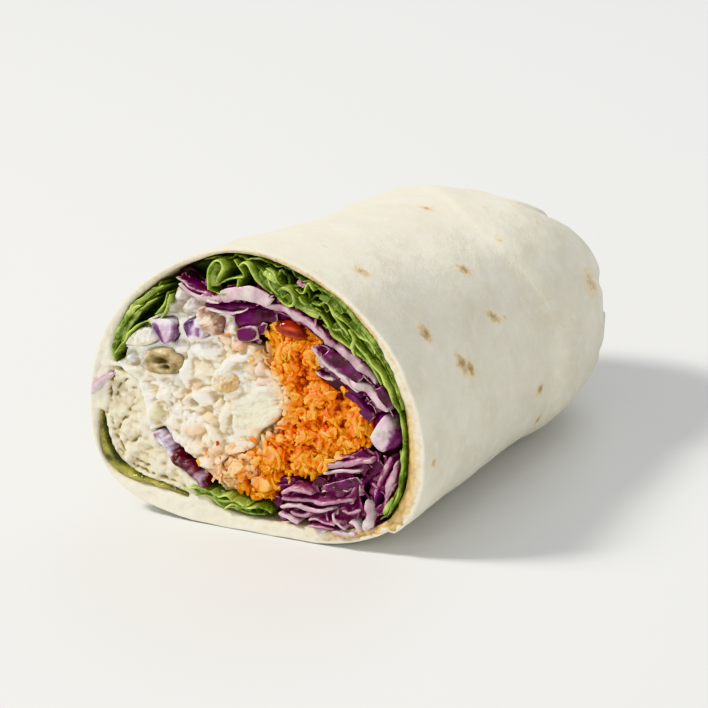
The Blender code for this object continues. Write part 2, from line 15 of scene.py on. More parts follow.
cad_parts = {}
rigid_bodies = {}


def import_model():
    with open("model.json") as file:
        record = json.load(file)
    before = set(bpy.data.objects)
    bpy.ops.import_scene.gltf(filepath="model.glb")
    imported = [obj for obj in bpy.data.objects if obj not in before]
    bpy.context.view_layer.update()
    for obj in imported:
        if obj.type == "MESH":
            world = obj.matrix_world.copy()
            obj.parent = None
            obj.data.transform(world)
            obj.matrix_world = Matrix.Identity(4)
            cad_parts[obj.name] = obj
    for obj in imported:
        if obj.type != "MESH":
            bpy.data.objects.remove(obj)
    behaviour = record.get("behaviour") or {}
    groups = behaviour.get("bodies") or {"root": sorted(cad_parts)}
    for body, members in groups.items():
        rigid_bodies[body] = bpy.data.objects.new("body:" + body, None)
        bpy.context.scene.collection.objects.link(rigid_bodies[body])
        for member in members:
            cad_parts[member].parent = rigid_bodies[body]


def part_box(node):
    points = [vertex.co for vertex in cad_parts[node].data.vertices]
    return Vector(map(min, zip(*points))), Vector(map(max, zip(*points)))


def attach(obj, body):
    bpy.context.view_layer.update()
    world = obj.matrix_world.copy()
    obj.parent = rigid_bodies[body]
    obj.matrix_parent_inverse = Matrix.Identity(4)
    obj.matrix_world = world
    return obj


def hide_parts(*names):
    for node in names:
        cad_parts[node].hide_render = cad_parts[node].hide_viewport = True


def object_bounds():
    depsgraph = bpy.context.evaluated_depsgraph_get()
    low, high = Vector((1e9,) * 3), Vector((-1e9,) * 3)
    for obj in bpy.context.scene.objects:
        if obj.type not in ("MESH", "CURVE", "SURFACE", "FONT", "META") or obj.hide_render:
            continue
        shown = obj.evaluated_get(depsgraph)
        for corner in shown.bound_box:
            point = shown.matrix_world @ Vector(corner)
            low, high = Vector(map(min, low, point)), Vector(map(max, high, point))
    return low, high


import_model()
CAD_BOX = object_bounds()

MM = 0.001

# The roll, as in the CAD
HALF_WIDTH = 36.0
MIDDLE_HEIGHT = 24.5
TOP_HEIGHT = 38.5
TOP_POWER = 1.85
BASE_POWER = 3.0
FLAT_DEPTH = 0.4
LENGTH = 95.0
CUT_TURN = math.tan(math.radians(12.0))
END_TURN = 0.12
HEIGHT_TAPER = 0.0025
WIDTH_TAPER = 0.0018
FLAP_START = 56.0
FLAP_RUN = 8.0
FLAP_HEIGHT = 0.018
FLAP_WIDTH = 0.04
ROUND_START = 60.0
ROUND_RUN = 47.0
ROUND_POWER = 2.6
END_MIDDLE = 31.0
END_DOME = ((1.0, 0.0), (0.88, 1.9), (0.7, 3.5), (0.48, 4.3), (0.24, 3.7), (0.0, 2.6))
FOLDS = ((38.0, 24.0, -0.07), (4.0, 13.0, 0.03), (84.0, 9.0, 0.05), (122.0, 11.0, 0.05),
         (206.0, 12.0, 0.09), (312.0, 12.0, 0.06))
FILL_DEPTH = 72.0
HALF_GAP = 0.15
WIDEST = 35.9955            # half the width of the CAD skin, whose corners miss the widest point

LOW_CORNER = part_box("tortilla")[0]
CUT_MIDDLE = np.array([0.0, LOW_CORNER.y + WIDEST * CUT_TURN * MM, 0.0])


# ---------------- noise and soft shapes

def hashed(cell, seed):
    """A steady random number from -1 to 1 for each whole-numbered cell."""
    mix = cell[..., 0] * 374761393 + cell[..., 1] * 668265263 + cell[..., 2] * 974634777
    mix = (mix + seed * 1274126177) & 0xFFFFFFFF
    mix = ((mix ^ (mix >> 13)) * 1274126177) & 0xFFFFFFFF
    return ((mix ^ (mix >> 16)) & 0xFFFF) / 32768.0 - 1


def noise(points, size, seed=0):
    """Smooth noise from -1 to 1, with bumps about one size wide.

    points is an array of points, or a tuple with an array for each coordinate.
    """
    if isinstance(points, tuple):
        points = np.column_stack(points)
    scaled = np.zeros((len(points), 3))
    scaled[:, :points.shape[1]] = points
    scaled = scaled / size + 0.37
    cell = np.floor(scaled).astype(np.int64)
    part = scaled - cell
    part = part * part * (3 - 2 * part)
    total = np.zeros(len(points))
    for corner in range(8):
        step = np.array([corner & 1, corner >> 1 & 1, corner >> 2 & 1])
        weight = np.prod(np.where(step == 1, part, 1 - part), axis=1)
        total += weight * hashed(cell + step, seed)
    return total


def layered(points, size, layers=3, seed=0):
    """Noise with finer noise on top of it."""
    return sum(noise(points, size / 2 ** i, seed + i) / 2 ** i for i in range(layers))


def unit(value):
    """The value, held between 0 and 1."""
    return np.clip(value, 0, 1)


def soft_step(low, high, value):
    t = unit((value - low) / (high - low))
    return t * t * (3 - 2 * t)


def patches(points, size, seed, low, high):
    """1 where noise is high, 0 where it is low."""
    return soft_step(low, high, noise(points, size, seed))


def fade(value, reach):
    """1 at zero, and next to nothing two reaches away."""
    return np.exp(-(value / reach) ** 2)


def spot_at(flat, s, z, wide, high):
    """1 at a place on the cut, fading out around it."""
    return np.exp(-(((flat[:, 0] - s) / wide) ** 2 + ((flat[:, 1] - z) / high) ** 2))


def turned(a, b, degrees):
    """Coordinates along and across a direction."""
    c, s = math.cos(math.radians(degrees)), math.sin(math.radians(degrees))
    return a * c + b * s, b * c - a * s


# ---------------- the roll's own space

def place(points):
    """Metres for points (s, z, d) inside the roll."""
    s, z, d = np.asarray(points, float).T
    turn = CUT_TURN + (END_TURN - CUT_TURN) * d / LENGTH
    spots = np.stack([s * (1 - WIDTH_TAPER * d), s * turn + d, z * (1 - HEIGHT_TAPER * d)], 1)
    return spots * MM + CUT_MIDDLE


def unplace(spots):
    """The (s, z, d) of places near the cut."""
    x, y, z = ((np.asarray(spots) - CUT_MIDDLE) / MM).T
    d = (y - x * CUT_TURN) / (1 - x * (CUT_TURN - END_TURN) / LENGTH)
    return np.stack([x / (1 - WIDTH_TAPER * d), z / (1 - HEIGHT_TAPER * d), d], 1)


def skin_outline(angle):
    """Across and height of the skin on the cut, at angles round the roll."""
    c, s = np.cos(angle), np.sin(angle)
    power = np.where(s > 0, TOP_POWER, BASE_POWER)
    reach = np.where(s > 0, TOP_HEIGHT, MIDDLE_HEIGHT)
    r = (np.abs(c) ** power + np.abs(s) ** power) ** (-1 / power)
    return np.stack([HALF_WIDTH * r * c, np.maximum(0, MIDDLE_HEIGHT + reach * r * s - FLAT_DEPTH)], 1)


def skin_ring(angle, depth):
    """A ring of the outer skin in millimetres, with the flap, the round end and its folds."""
    s, z = skin_outline(angle).T
    high = 1 - HEIGHT_TAPER * depth
    wide = 1 - WIDTH_TAPER * depth
    flap = soft_step(FLAP_START, FLAP_START + FLAP_RUN, depth)
    t = min(max((depth - ROUND_START) / ROUND_RUN, 0), 1)
    drawn = (1 - t ** ROUND_POWER) ** (1 / ROUND_POWER)
    high += FLAP_HEIGHT * flap
    wide = (wide + FLAP_WIDTH * flap) * drawn
    z = END_MIDDLE + (z - END_MIDDLE) * drawn
    turn = CUT_TURN + (END_TURN - CUT_TURN) * depth / LENGTH
    ring = np.stack([s * wide, s * turn + depth, z * high], 1)
    reach = min(max((depth - ROUND_START) / (LENGTH - ROUND_START), 0), 1)
    around = np.degrees(angle) % 360
    share = sum(deep * np.exp(-(((around - at) / width) ** 2)) for at, width, deep in FOLDS)
    middle = ring.mean(0)
    return ring + (middle - ring) * (share * reach)[:, None]


# ---------------- outlines on the cut

def curve(keys, step=0.7, closed=False):
    """Points along a smooth curve through the keys."""
    keys = [np.array(key, float) for key in keys]
    ends = keys[-1:] + keys + keys[:2] if closed else keys[:1] + keys + keys[-1:]
    points = []
    for a, b, c, d in zip(ends, ends[1:], ends[2:], ends[3:]):
        pieces = max(1, round(math.dist(b, c) / step))
        for i in range(pieces):
            t = i / pieces
            points.append(0.5 * (2 * b + (c - a) * t + (2 * a - 5 * b + 4 * c - d) * t * t
                                 + (3 * b - a - 3 * c + d) * t ** 3))
    return loop(points) if closed else np.array(points + [keys[-1]])


def loop(*parts):
    """One outline, counter-clockwise, from curves that meet end to end."""
    points = np.concatenate([np.atleast_2d(part) for part in parts]).astype(float)
    points = points[np.linalg.norm(points - np.roll(points, 1, 0), axis=1) > 0.01]
    x, y = points.T
    turn = (x * np.roll(y, -1) - np.roll(x, -1) * y).sum()
    return points if turn > 0 else points[::-1]


def closed_up(line):
    """The line with its first point once more at its end."""
    return np.vstack([line, line[:1]])


def lengths(line):
    return np.linalg.norm(np.diff(line, axis=0), axis=1)


def evened(outline, step):
    """The closed outline with points a step apart."""
    ring = closed_up(outline)
    run = np.r_[0, np.cumsum(lengths(ring))]
    at = np.linspace(0, run[-1], max(8, round(run[-1] / step)), endpoint=False)
    return np.stack([np.interp(at, run, ring[:, k]) for k in (0, 1)], 1)


def inset(outline, amount):
    """The outline drawn in by an amount, or let out by a negative one."""
    into = outline - np.roll(outline, 1, 0)
    out = np.roll(outline, -1, 0) - outline
    into = into / np.linalg.norm(into, axis=1)[:, None]
    out = out / np.linalg.norm(out, axis=1)[:, None]
    normal = np.stack([-into[:, 1] - out[:, 1], into[:, 0] + out[:, 0]], 1)
    return outline + normal * (amount / np.maximum(1 + (into * out).sum(1), 0.4))[:, None]


def inside(points, outline):
    x, y = points[:, 0, None], points[:, 1, None]
    x0, y0 = outline.T
    x1, y1 = np.roll(x0, -1), np.roll(y0, -1)
    crosses = (y0 > y) != (y1 > y)
    rise = np.where(y1 == y0, 1, y1 - y0)
    return (crosses & (x < x0 + (y - y0) * (x1 - x0) / rise)).sum(1) % 2 == 1


def line_distance(points, line):
    """How far points are from a line of points."""
    steps = np.diff(line, axis=0)
    away = points[:, None] - line[:-1]
    t = unit((away * steps).sum(-1) / np.maximum((steps ** 2).sum(-1), 1e-9))
    return np.sqrt(((away - t[..., None] * steps) ** 2).sum(-1).min(1))


def rim_distance(points, outline):
    """How far points are from a closed outline."""
    return line_distance(points, closed_up(outline))


def between(inner, outer, u, v):
    """Points between two curves: u along them, v from the inner to the outer."""
    spots = []
    for line in (inner, outer):
        at = unit(u) * (len(line) - 1)
        spots.append(np.stack([np.interp(at, range(len(line)), line[:, k]) for k in (0, 1)], -1))
    return spots[0] + (spots[1] - spots[0]) * np.asarray(v)[..., None]


# Where the fillings meet, on the cut face
LUMP_TOP = (-28.7, 33.0)
WALL_START = (-30.3, 33.3)
LEAF_END = (-16.4, 53.2)
WALL_LEAF_END = (-17.9, 54.4)
RUFFLE_START = (-14.6, 54.9)
WALL_RUFFLE_START = (-15.8, 55.9)
CABBAGE_TIP = (-16.2, 51.8)
CARROT_TOP = (0.9, 41.3)
SHOULDER = (29.8, 32.0)
WALL_SHOULDER = (31.6, 32.4)
RIB_TOP = (22.9, 31.0)
RIB_BASE = (23.6, 23.0)
RIB_TOP_RIGHT = (29.9, 31.2)
RIB_BASE_RIGHT = (30.3, 22.4)
CORNER = (26.5, 8.7)
WALL_CORNER = (28.3, 8.5)
CARROT_BASE = (2.6, 6.9)
WALL_FRILL_START = (3.8, 3.4)
FRILL_END = (-7.2, 7.8)
LUMP_BASE = (-9.3, 4.7)
ONION_LOW = (-10.3, 7.9)
ONION_LOW_TOP = (-9.0, 9.5)
ONION_HIGH = (-22.0, 19.2)
ONION_HIGH_TOP = (-20.2, 19.9)

# Curves that two neighbours share
WALL_LEFT = curve([WALL_START, (-29.6, 39), (-26.3, 46), (-21.3, 51.2), WALL_LEAF_END])
WALL_TOP = curve([WALL_RUFFLE_START, (-7, 60.1), (0, 60.9), (7, 59.7), (13, 57), (19, 53),
                  (24.5, 47.3), (28.5, 41), WALL_SHOULDER])
WALL_RIGHT = curve([WALL_SHOULDER, (32.3, 26), (32.1, 20), (31.2, 14.5), WALL_CORNER])
WALL_BASE = curve([WALL_CORNER, (25, 6), (19, 4.3), (12, 3.6), WALL_FRILL_START])
WALL_FRILL = curve([WALL_FRILL_START, (-3, 3.6), LUMP_BASE])
LUMP_UNDER_ONION = curve([ONION_LOW, (-14.5, 11), (-19.5, 14.9), ONION_HIGH])
LUMP_SIDE = curve([ONION_HIGH, (-23.1, 25), (-24.8, 29.8), LUMP_TOP])
LEAF_INNER = curve([LUMP_TOP, (-27.8, 38), (-25, 42), (-20.8, 45), (-17.8, 48.4), CABBAGE_TIP])
RUFFLE_INNER = curve([RUFFLE_START, (-8, 52.7), (-3, 54.2), (0, 55), (5, 53.5), (8.5, 51.2),
                      (13, 49.6), (17.5, 46.6), (22, 43.4), (26, 39.6), (28.5, 35.8), SHOULDER])
RIGHT_INNER = curve([SHOULDER, RIB_TOP_RIGHT, (30.4, 27), RIB_BASE_RIGHT, (29.6, 15.5), (28.3, 11), CORNER])
CABBAGE_UNDER = curve([CABBAGE_TIP, (-12, 50), (-8, 48.5), (-4.6, 47), (-3.7, 43.4), (-1.6, 41.5),
                       CARROT_TOP])
CARROT_OVER = curve([CARROT_TOP, (2.6, 45.6), (5, 47.8), (9, 47.6), (13, 45.2), (14, 41.6),
                     (14, 37.4), (19, 35.3), RIB_TOP])
CARROT_RIB = curve([RIB_TOP, (24, 27), RIB_BASE])
CARROT_UNDER = curve([RIB_BASE, (19.5, 20.8), (16, 18), (13.5, 15), (7.5, 12.9), (4.2, 10),
                      CARROT_BASE])
CARROT_FRILL = curve([CARROT_BASE, (-2.5, 7), FRILL_END])
CARROT_LEFT = curve([FRILL_END, (-8.9, 11.5), (-6.5, 15.6), (-1, 18.5), (1, 22.8), (4.8, 26.2),
                     (5.8, 30.6), (4, 35), (1.6, 38.2), CARROT_TOP])
ONION_OVER = curve([ONION_LOW_TOP, (-13.2, 13.1), (-18.2, 17.1), ONION_HIGH_TOP])


def band(keys, more=0.0):
    """The two sides of a band whose keys carry its half width as a third number."""
    line = curve(keys, 0.6)
    way = np.gradient(line[:, :2], axis=0)
    side = np.stack([-way[:, 1], way[:, 0]], 1) / np.linalg.norm(way, axis=1)[:, None]
    side = side * (line[:, 2:] + more)
    return line[:, :2] + side, line[:, :2] - side


TUCKED_KEYS = [(-33.2, 21.8, 0.22), (-33.1, 17.6, 0.7), (-32.3, 13.4, 1.15), (-30.3, 10.3, 1.25),
               (-27.2, 8.4, 0.9), (-23, 7.4, 0.55), (-18.5, 6.7, 0.4), (-14.5, 5.9, 0.3)]
TUCKED = band(TUCKED_KEYS)

CABBAGE_TOP_SPACE = loop([WALL_LEAF_END, WALL_RUFFLE_START, RUFFLE_START], RUFFLE_INNER,
                         [SHOULDER, RIB_TOP_RIGHT, RIB_TOP], CARROT_OVER[::-1],
                         CABBAGE_UNDER[::-1], [CABBAGE_TIP, LEAF_END, WALL_LEAF_END])
CABBAGE_BASE_SPACE = loop([RIB_BASE, RIB_BASE_RIGHT],
                          curve([RIB_BASE_RIGHT, (29.6, 15.5), (28.3, 11), CORNER]),
                          [CORNER, WALL_CORNER], WALL_BASE, [WALL_FRILL_START, CARROT_BASE],
                          CARROT_UNDER[::-1])
CARROT_SPACE = loop(CARROT_OVER, CARROT_RIB, CARROT_UNDER, CARROT_FRILL, CARROT_LEFT)
SALAD_SPACE = loop(CABBAGE_UNDER, CARROT_LEFT[::-1], [FRILL_END, ONION_LOW_TOP], ONION_OVER,
                   [ONION_HIGH_TOP, ONION_HIGH], LUMP_SIDE, LEAF_INNER)
CAVITY = loop(WALL_LEFT, [WALL_LEAF_END, WALL_RUFFLE_START], WALL_TOP, WALL_RIGHT, WALL_BASE,
              WALL_FRILL, [LUMP_BASE, ONION_LOW], LUMP_UNDER_ONION, LUMP_SIDE, [LUMP_TOP, WALL_START])


# ---------------- meshes

class Pile:
    """Points (s, z, d), faces and painted values of one piece, gathered part by part."""

    def __init__(self):
        self.points, self.faces, self.values = [], [], {}
        self.count = 0

    def add(self, points, faces, placed=False, **values):
        """Take in one closed part, with its faces turned to point outwards."""
        if not placed:
            points = place(points)
        for group in turned_out(points, faces):
            self.faces += (group + self.count).tolist()
        self.points.append(points)
        self.count += len(points)
        for name, value in values.items():
            value = np.asarray(value, float)
            shape = (len(points), 3) if value.ndim == 2 else (len(points),)
            self.values.setdefault(name, []).append(np.broadcast_to(value, shape))

    def mesh(self, name):
        mesh = bpy.data.meshes.new(name)
        mesh.from_pydata(np.concatenate(self.points).tolist(), [], self.faces)
        for key, parts in self.values.items():
            paint(mesh, key, np.concatenate(parts))
        mesh.shade_smooth()
        return mesh


def build_piece(name, slot, node, points, faces, placed=False, **values):
    """A piece of one closed part."""
    pile = Pile()
    pile.add(points, faces, placed, **values)
    finish_piece(pile.mesh(name), slot, node)


def turned_out(points, faces):
    """The faces of a closed part, all the other way round if they point inwards."""
    volume = 0.0
    middle = points.mean(0)
    for group in faces:
        corners = points[group] - middle
        for k in range(1, corners.shape[1] - 1):
            volume += (corners[:, 0] * np.cross(corners[:, k], corners[:, k + 1])).sum()
    return faces if volume > 0 else [group[:, ::-1] for group in faces]


def paint(mesh, key, value):
    """Store a number or a colour for each point."""
    if value.ndim == 2:
        value = np.column_stack([value, np.ones(len(value))])
        mesh.attributes.new(key, "FLOAT_COLOR", "POINT").data.foreach_set(
            "color", value.astype(np.float32).ravel())
    else:
        mesh.attributes.new(key, "FLOAT", "POINT").data.foreach_set("value", value.astype(np.float32))


def add_object(name, data):
    thing = bpy.data.objects.new(name, data)
    bpy.context.scene.collection.objects.link(thing)
    return thing


def finish_piece(mesh, slot, node):
    """Put a mesh into the scene as a piece with its own name."""
    thing = add_object(mesh.name, mesh)
    mesh.materials.clear()
    mesh.materials.append(MATERIALS[slot])
    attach(thing, "root")
    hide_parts(node)


def quads(index):
    """The four-sided faces of a grid of point numbers."""
    return np.stack([index[:-1, :-1], index[1:, :-1], index[1:, 1:], index[:-1, 1:]], -1).reshape(-1, 4)


def flipped(faces):
    """Four-sided faces turned the other way round."""
    return faces[:, [0, 3, 2, 1]]


def tube(index):
    """The faces of a row of rings of point numbers."""
    return quads(np.column_stack([index, index[:, :1]]))


def fill(outline, holes, spacing, seed=1):
    """Points and triangles that fill an outline, loosely spread inside, or bare without a spacing."""
    points = [p for ring in (outline, *holes) for p in ring]
    edges = []
    for ring in (outline, *holes):
        numbers = np.arange(len(ring)) + len(edges)
        edges += zip(numbers.tolist(), np.roll(numbers, -1).tolist())
    if spacing:
        low, high = outline.min(0), outline.max(0)
        across = np.arange(low[0], high[0], spacing)
        rows = np.arange(low[1], high[1], spacing * 0.87)
        grid = np.stack(np.meshgrid(across, rows), -1)
        grid[1::2, :, 0] += spacing / 2
        grid = grid.reshape(-1, 2)
        cells = np.column_stack([np.arange(len(grid)), np.zeros((len(grid), 2), int)])
        for axis in (0, 1):
            grid[:, axis] += 0.2 * spacing * hashed(cells, seed + axis)
        grid = grid[inside(grid, outline)]
        for ring in (outline, *holes):
            grid = grid[rim_distance(grid, ring) > 0.45 * spacing]
        for hole in holes:
            grid = grid[~inside(grid, hole)]
        points += list(grid)
    made = geometry.delaunay_2d_cdt([Vector(p) for p in points], edges, [], 0, 1e-6)
    spots = np.array([tuple(v) for v in made[0]])
    triangles = np.array([tuple(face) for face in made[2]])
    middles = spots[triangles].mean(1)
    # slivers between neighbours of the outline lie outside it
    onward = np.roll(triangles, -1, 1)
    slivers = (np.maximum(triangles, onward) < len(outline)) & ((triangles - onward) % len(outline) == 1)
    keep = inside(middles, outline) & ~slivers.any(1)
    for hole in holes:
        keep &= ~inside(middles, hole)
    return spots, triangles[keep]


RUN_BACK = (0.012, 0.03, 0.07, 0.15, 0.35, 1)           # where the rings behind the cut lie


def body(outline, spacing, front, back, seed=1):
    """A solid that runs back from the cut: its points and faces, and how many points the cut has.

    front gives the depth of points from their places and distances to the outline.
    """
    outline = evened(outline, spacing)
    flat, triangles = fill(outline, [], spacing, seed)
    count = len(outline)
    edge = rim_distance(flat, outline)
    edge[:count] = 0
    depth = front(flat, edge)
    rim = depth[:count]
    points = [np.column_stack([flat, depth])]
    points += [np.column_stack([outline, rim + (back - rim) * share]) for share in RUN_BACK]
    behind = len(flat) + np.arange(count * len(RUN_BACK)).reshape(-1, count)
    end = fill(outline, [], 0)[1][:, ::-1]
    faces = [triangles, tube(np.vstack([np.arange(count), behind])), behind[-1][end]]
    return np.concatenate(points), faces, len(flat)


def stations(length, half, step, rim=(0, 0.04, 0.16, 0.42, 0.75)):
    """Distances along a sheet, close together at its rims, and how full it is at each."""
    ends = [half * r for r in rim]
    inner = np.linspace(half, length - half, max(2, round((length - 2 * half) / step) + 1))
    at = np.r_[ends, inner, length - np.array(ends[::-1])]
    away = np.minimum(np.minimum(at, length - at) / half, 1)
    return at, (1 - (1 - away) ** 2.6) ** (1 / 2.6)


def pillow(middle, half):
    """A closed sheet round rows of middle points; half is its half thickness at each.

    Gives its points, faces and side, which goes from -1 to 1 through the thickness.
    """
    rows, columns = half.shape
    middle = middle.reshape(rows, columns, 3)
    normal = np.cross(np.gradient(middle, axis=0), np.gradient(middle, axis=1))
    normal /= np.maximum(np.linalg.norm(normal, axis=-1), 1e-9)[..., None]
    near = middle + normal * half[..., None]
    far = (middle - normal * half[..., None])[1:-1, 1:-1]
    index = np.arange(rows * columns).reshape(rows, columns)
    under = index.copy()
    under[1:-1, 1:-1] = rows * columns + np.arange((rows - 2) * (columns - 2)).reshape(rows - 2, -1)
    full = half / max(half.max(), 1e-9)
    side = np.r_[full.ravel(), -full[1:-1, 1:-1].ravel()]
    points = np.concatenate([near.reshape(-1, 3), far.reshape(-1, 3)])
    return points, [quads(index), flipped(quads(under))], side


def crossed(u, v):
    """Every pair of a distance along a sheet and one across it."""
    return np.repeat(u, len(v)), np.tile(v, len(u))


def beside(path, u, aside):
    """Places next to a line of points: u along it, and aside to its left."""
    run = np.r_[0, np.cumsum(lengths(path))]
    u = np.clip(u, 0, run[-1])
    spots, ahead, behind = (np.stack([np.interp(u + step, run, path[:, k]) for k in (0, 1)], 1)
                            for step in (0, 0.4, -0.4))
    way = ahead - behind
    side = np.stack([-way[:, 1], way[:, 0]], 1) / np.linalg.norm(way, axis=1)[:, None]
    columns = len(aside) // len(u)
    return np.repeat(spots, columns, 0) + np.repeat(side, columns, 0) * aside[:, None]


def edge_strip(keys, thickness, front, back, seed, wobble, ragged, step, taper, lean=0.0):
    """A strip of leaf that stands edge-on to the viewer and runs back from the cut."""
    path = curve(keys, 0.5)
    u, full_u = stations(lengths(path).sum(), thickness / 2, step)
    v, full_v = stations(back - front, thickness / 2, 2.2)
    uu, vv = crossed(u, v)
    run = (uu, vv * 0.7)
    sway = wobble * (layered(run, 5.0, 2, seed) + 0.6 * layered(run, 1.5, 2, seed + 3)) + lean * vv
    torn = ragged * noise((uu,), 2.2, seed + 5)
    depth = front + vv + torn * unit(1 - vv / 4)
    thick = thickness / 2 * (1 + 0.55 * layered((uu, vv), 2.4, 2, seed + 9)).reshape(len(u), len(v))
    thick = thick * (1 - taper * np.abs(2 * u / u[-1] - 1) ** 2.2)[:, None]
    return pillow(np.column_stack([beside(path, u, sway), depth]), thick * np.outer(full_u, full_v))


def face_plate(keys, width, thickness, front, slope, curl, seed):
    """A scrap of leaf that turns its broad face to the viewer."""
    path = curve(keys, 0.5)
    u, full_u = stations(lengths(path).sum(), thickness / 2, 0.4)
    v, full_v = stations(width, thickness / 2, 0.4)
    uu, vv = crossed(u, v - width / 2)
    narrow = 1 + 0.3 * noise((uu,), 1.8, seed) - 0.35 * np.abs(2 * uu / u[-1] - 1) ** 2
    bend = curl * (vv / width * 2) ** 2 + slope * vv + 0.35 * layered((uu, vv), 2.6, 2, seed)
    middle = np.column_stack([beside(path, u, vv * narrow), front + bend])
    return pillow(middle, thickness / 2 * np.outer(full_u, full_v))


# ---------------- materials

def add_socket(tree, label, kind, way="INPUT"):
    return tree.interface.new_socket(label, in_out=way, socket_type="NodeSocket" + kind)


def node_group(name, sockets_in, sockets_out):
    """An empty shader node group with its inputs, outputs and inner ends."""
    group = bpy.data.node_groups.new(name, "ShaderNodeTree")
    for label, kind, value in sockets_in:
        add_socket(group, label, kind).default_value = value
    for label, kind in sockets_out:
        add_socket(group, label, kind, "OUTPUT")
    return group, group.nodes.new("NodeGroupInput"), group.nodes.new("NodeGroupOutput")


def feed(tree, socket, value):
    """Link a socket to another one, or set it to a number or a colour."""
    if isinstance(value, bpy.types.NodeSocket):
        tree.links.new(value, socket)
    elif isinstance(value, tuple):
        socket.default_value = (*value, 1)
    else:
        socket.default_value = value


def add_node(tree, kind, links=None, **settings):
    """A node with its settings, fed by values or by other sockets."""
    node = tree.nodes.new(kind)
    for key, value in settings.items():
        setattr(node, key, value)
    for socket, value in (links or {}).items():
        feed(tree, node.inputs[socket], value)
    return node


def ramp(tree, value, *stops):
    """A colour ramp from (place, colour) stops."""
    node = add_node(tree, "ShaderNodeValToRGB", {0: value})
    elements = node.color_ramp.elements
    while len(elements) < len(stops):
        elements.new(0.5)
    for element, (at, colour) in zip(elements, stops):
        element.position = at
        element.color = (*colour, 1) if isinstance(colour, tuple) else (colour, colour, colour, 1)
    return node.outputs["Color"]


def math_node(tree, operation, a, b):
    return add_node(tree, "ShaderNodeMath", {0: a, 1: b}, operation=operation).outputs[0]


def object_place(tree):
    return add_node(tree, "ShaderNodeTexCoord").outputs["Object"]


def mixed(tree, share, a, b):
    return add_node(tree, "ShaderNodeMix", {0: share, 6: a, 7: b}, data_type="RGBA").outputs[2]


def make_mottle():
    """Soft patches: varies a colour's value and puts out the same patches as a mask."""
    group, start, end = node_group(
        "mottle", [("Color", "Color", (0.8, 0.8, 0.8, 1)), ("Patch", "Float", 0.004),
                   ("Strength", "Float", 0.2), ("Seed", "Float", 0.0)],
        [("Color", "Color"), ("Mask", "Float")])
    where = object_place(group)
    scale = math_node(group, "DIVIDE", 1.0, start.outputs["Patch"])
    cloud = add_node(group, "ShaderNodeTexNoise",
                     {"Vector": where, "W": start.outputs["Seed"], "Scale": scale, "Detail": 4.0,
                      "Roughness": 0.6}, noise_dimensions="4D").outputs["Fac"]
    centred = math_node(group, "MULTIPLY", math_node(group, "SUBTRACT", cloud, 0.5), 4.0)
    lift = math_node(group, "ADD", math_node(group, "MULTIPLY", centred, start.outputs["Strength"]), 1.0)
    scaled = add_node(group, "ShaderNodeVectorMath", {0: start.outputs["Color"], "Scale": lift},
                      operation="SCALE").outputs[0]
    group.links.new(scaled, end.inputs["Color"])
    group.links.new(cloud, end.inputs["Mask"])
    return group


def make_grain():
    """Fine relief in two sizes, as a height for a Bump node."""
    group, start, end = node_group(
        "grain", [("Fine", "Float", 0.0005), ("Coarse", "Float", 0.002), ("Fine Share", "Float", 0.5)],
        [("Height", "Float")])
    where = object_place(group)
    heights = []
    for label in ("Fine", "Coarse"):
        scale = math_node(group, "DIVIDE", 1.0, start.outputs[label])
        heights.append(add_node(group, "ShaderNodeTexNoise",
                                {"Vector": where, "Scale": scale, "Detail": 3.0}).outputs["Fac"])
    fine = math_node(group, "MULTIPLY", heights[0], start.outputs["Fine Share"])
    group.links.new(math_node(group, "ADD", fine, heights[1]), end.inputs["Height"])
    return group


MOTTLE = make_mottle()
GRAIN = make_grain()
MATERIALS = {}              # by the slot each is for


class Finish:
    """A material with one Principled shader, and shorthands for its nodes, with sizes in mm.

    soft is how much light it scatters inside, how far in metres, and each colour's share of that.
    """

    def __init__(self, name, roughness, soft=(), **settings):
        material = MATERIALS[name] = bpy.data.materials.new(name)
        material.use_nodes = True
        self.tree = material.node_tree
        self.shader = self.tree.nodes["Principled BSDF"]
        settings["Roughness"] = roughness
        settings.update(zip(("Subsurface_Weight", "Subsurface_Scale", "Subsurface_Radius"), soft))
        for label, value in settings.items():
            self.shader.inputs[label.replace("_", " ")].default_value = value

    def attribute(self, name, socket="Fac"):
        return add_node(self.tree, "ShaderNodeAttribute", attribute_name=name).outputs[socket]

    def noise(self, size, detail=3.0, seed=0.0, roughness=0.55):
        where = object_place(self.tree)
        return add_node(self.tree, "ShaderNodeTexNoise",
                        {"Vector": where, "Scale": 1 / (size * MM), "Detail": detail, "W": seed,
                         "Roughness": roughness}, noise_dimensions="4D").outputs["Fac"]

    def broken(self, name, amount, *noise):
        """A painted value, raised and lowered by noise."""
        wander = math_node(self.tree, "SUBTRACT", self.noise(*noise), 0.5)
        return math_node(self.tree, "ADD", self.attribute(name),
                         math_node(self.tree, "MULTIPLY", wander, amount))

    def over(self, under, over, field, low, high, share=1.0):
        """One colour over another, from nothing where the field is low to a share where it is high."""
        return mixed(self.tree, ramp(self.tree, field, (low, 0.0), (high, share)), under, over)

    def mottle(self, colour, patch, strength):
        return add_node(self.tree, "ShaderNodeGroup",
                        {"Color": colour, "Patch": patch * MM, "Strength": strength}, node_tree=MOTTLE)

    def relief(self, fine, coarse, share, strength, distance, more=None):
        height = add_node(self.tree, "ShaderNodeGroup",
                          {"Fine": fine * MM, "Coarse": coarse * MM, "Fine Share": share},
                          node_tree=GRAIN).outputs["Height"]
        if more is not None:
            height = math_node(self.tree, "ADD", height, more)
        bump = add_node(self.tree, "ShaderNodeBump",
                        {"Height": height, "Strength": strength, "Distance": distance * MM})
        feed(self.tree, self.shader.inputs["Normal"], bump.outputs["Normal"])

    def colour(self, value):
        feed(self.tree, self.shader.inputs["Base Color"], value)


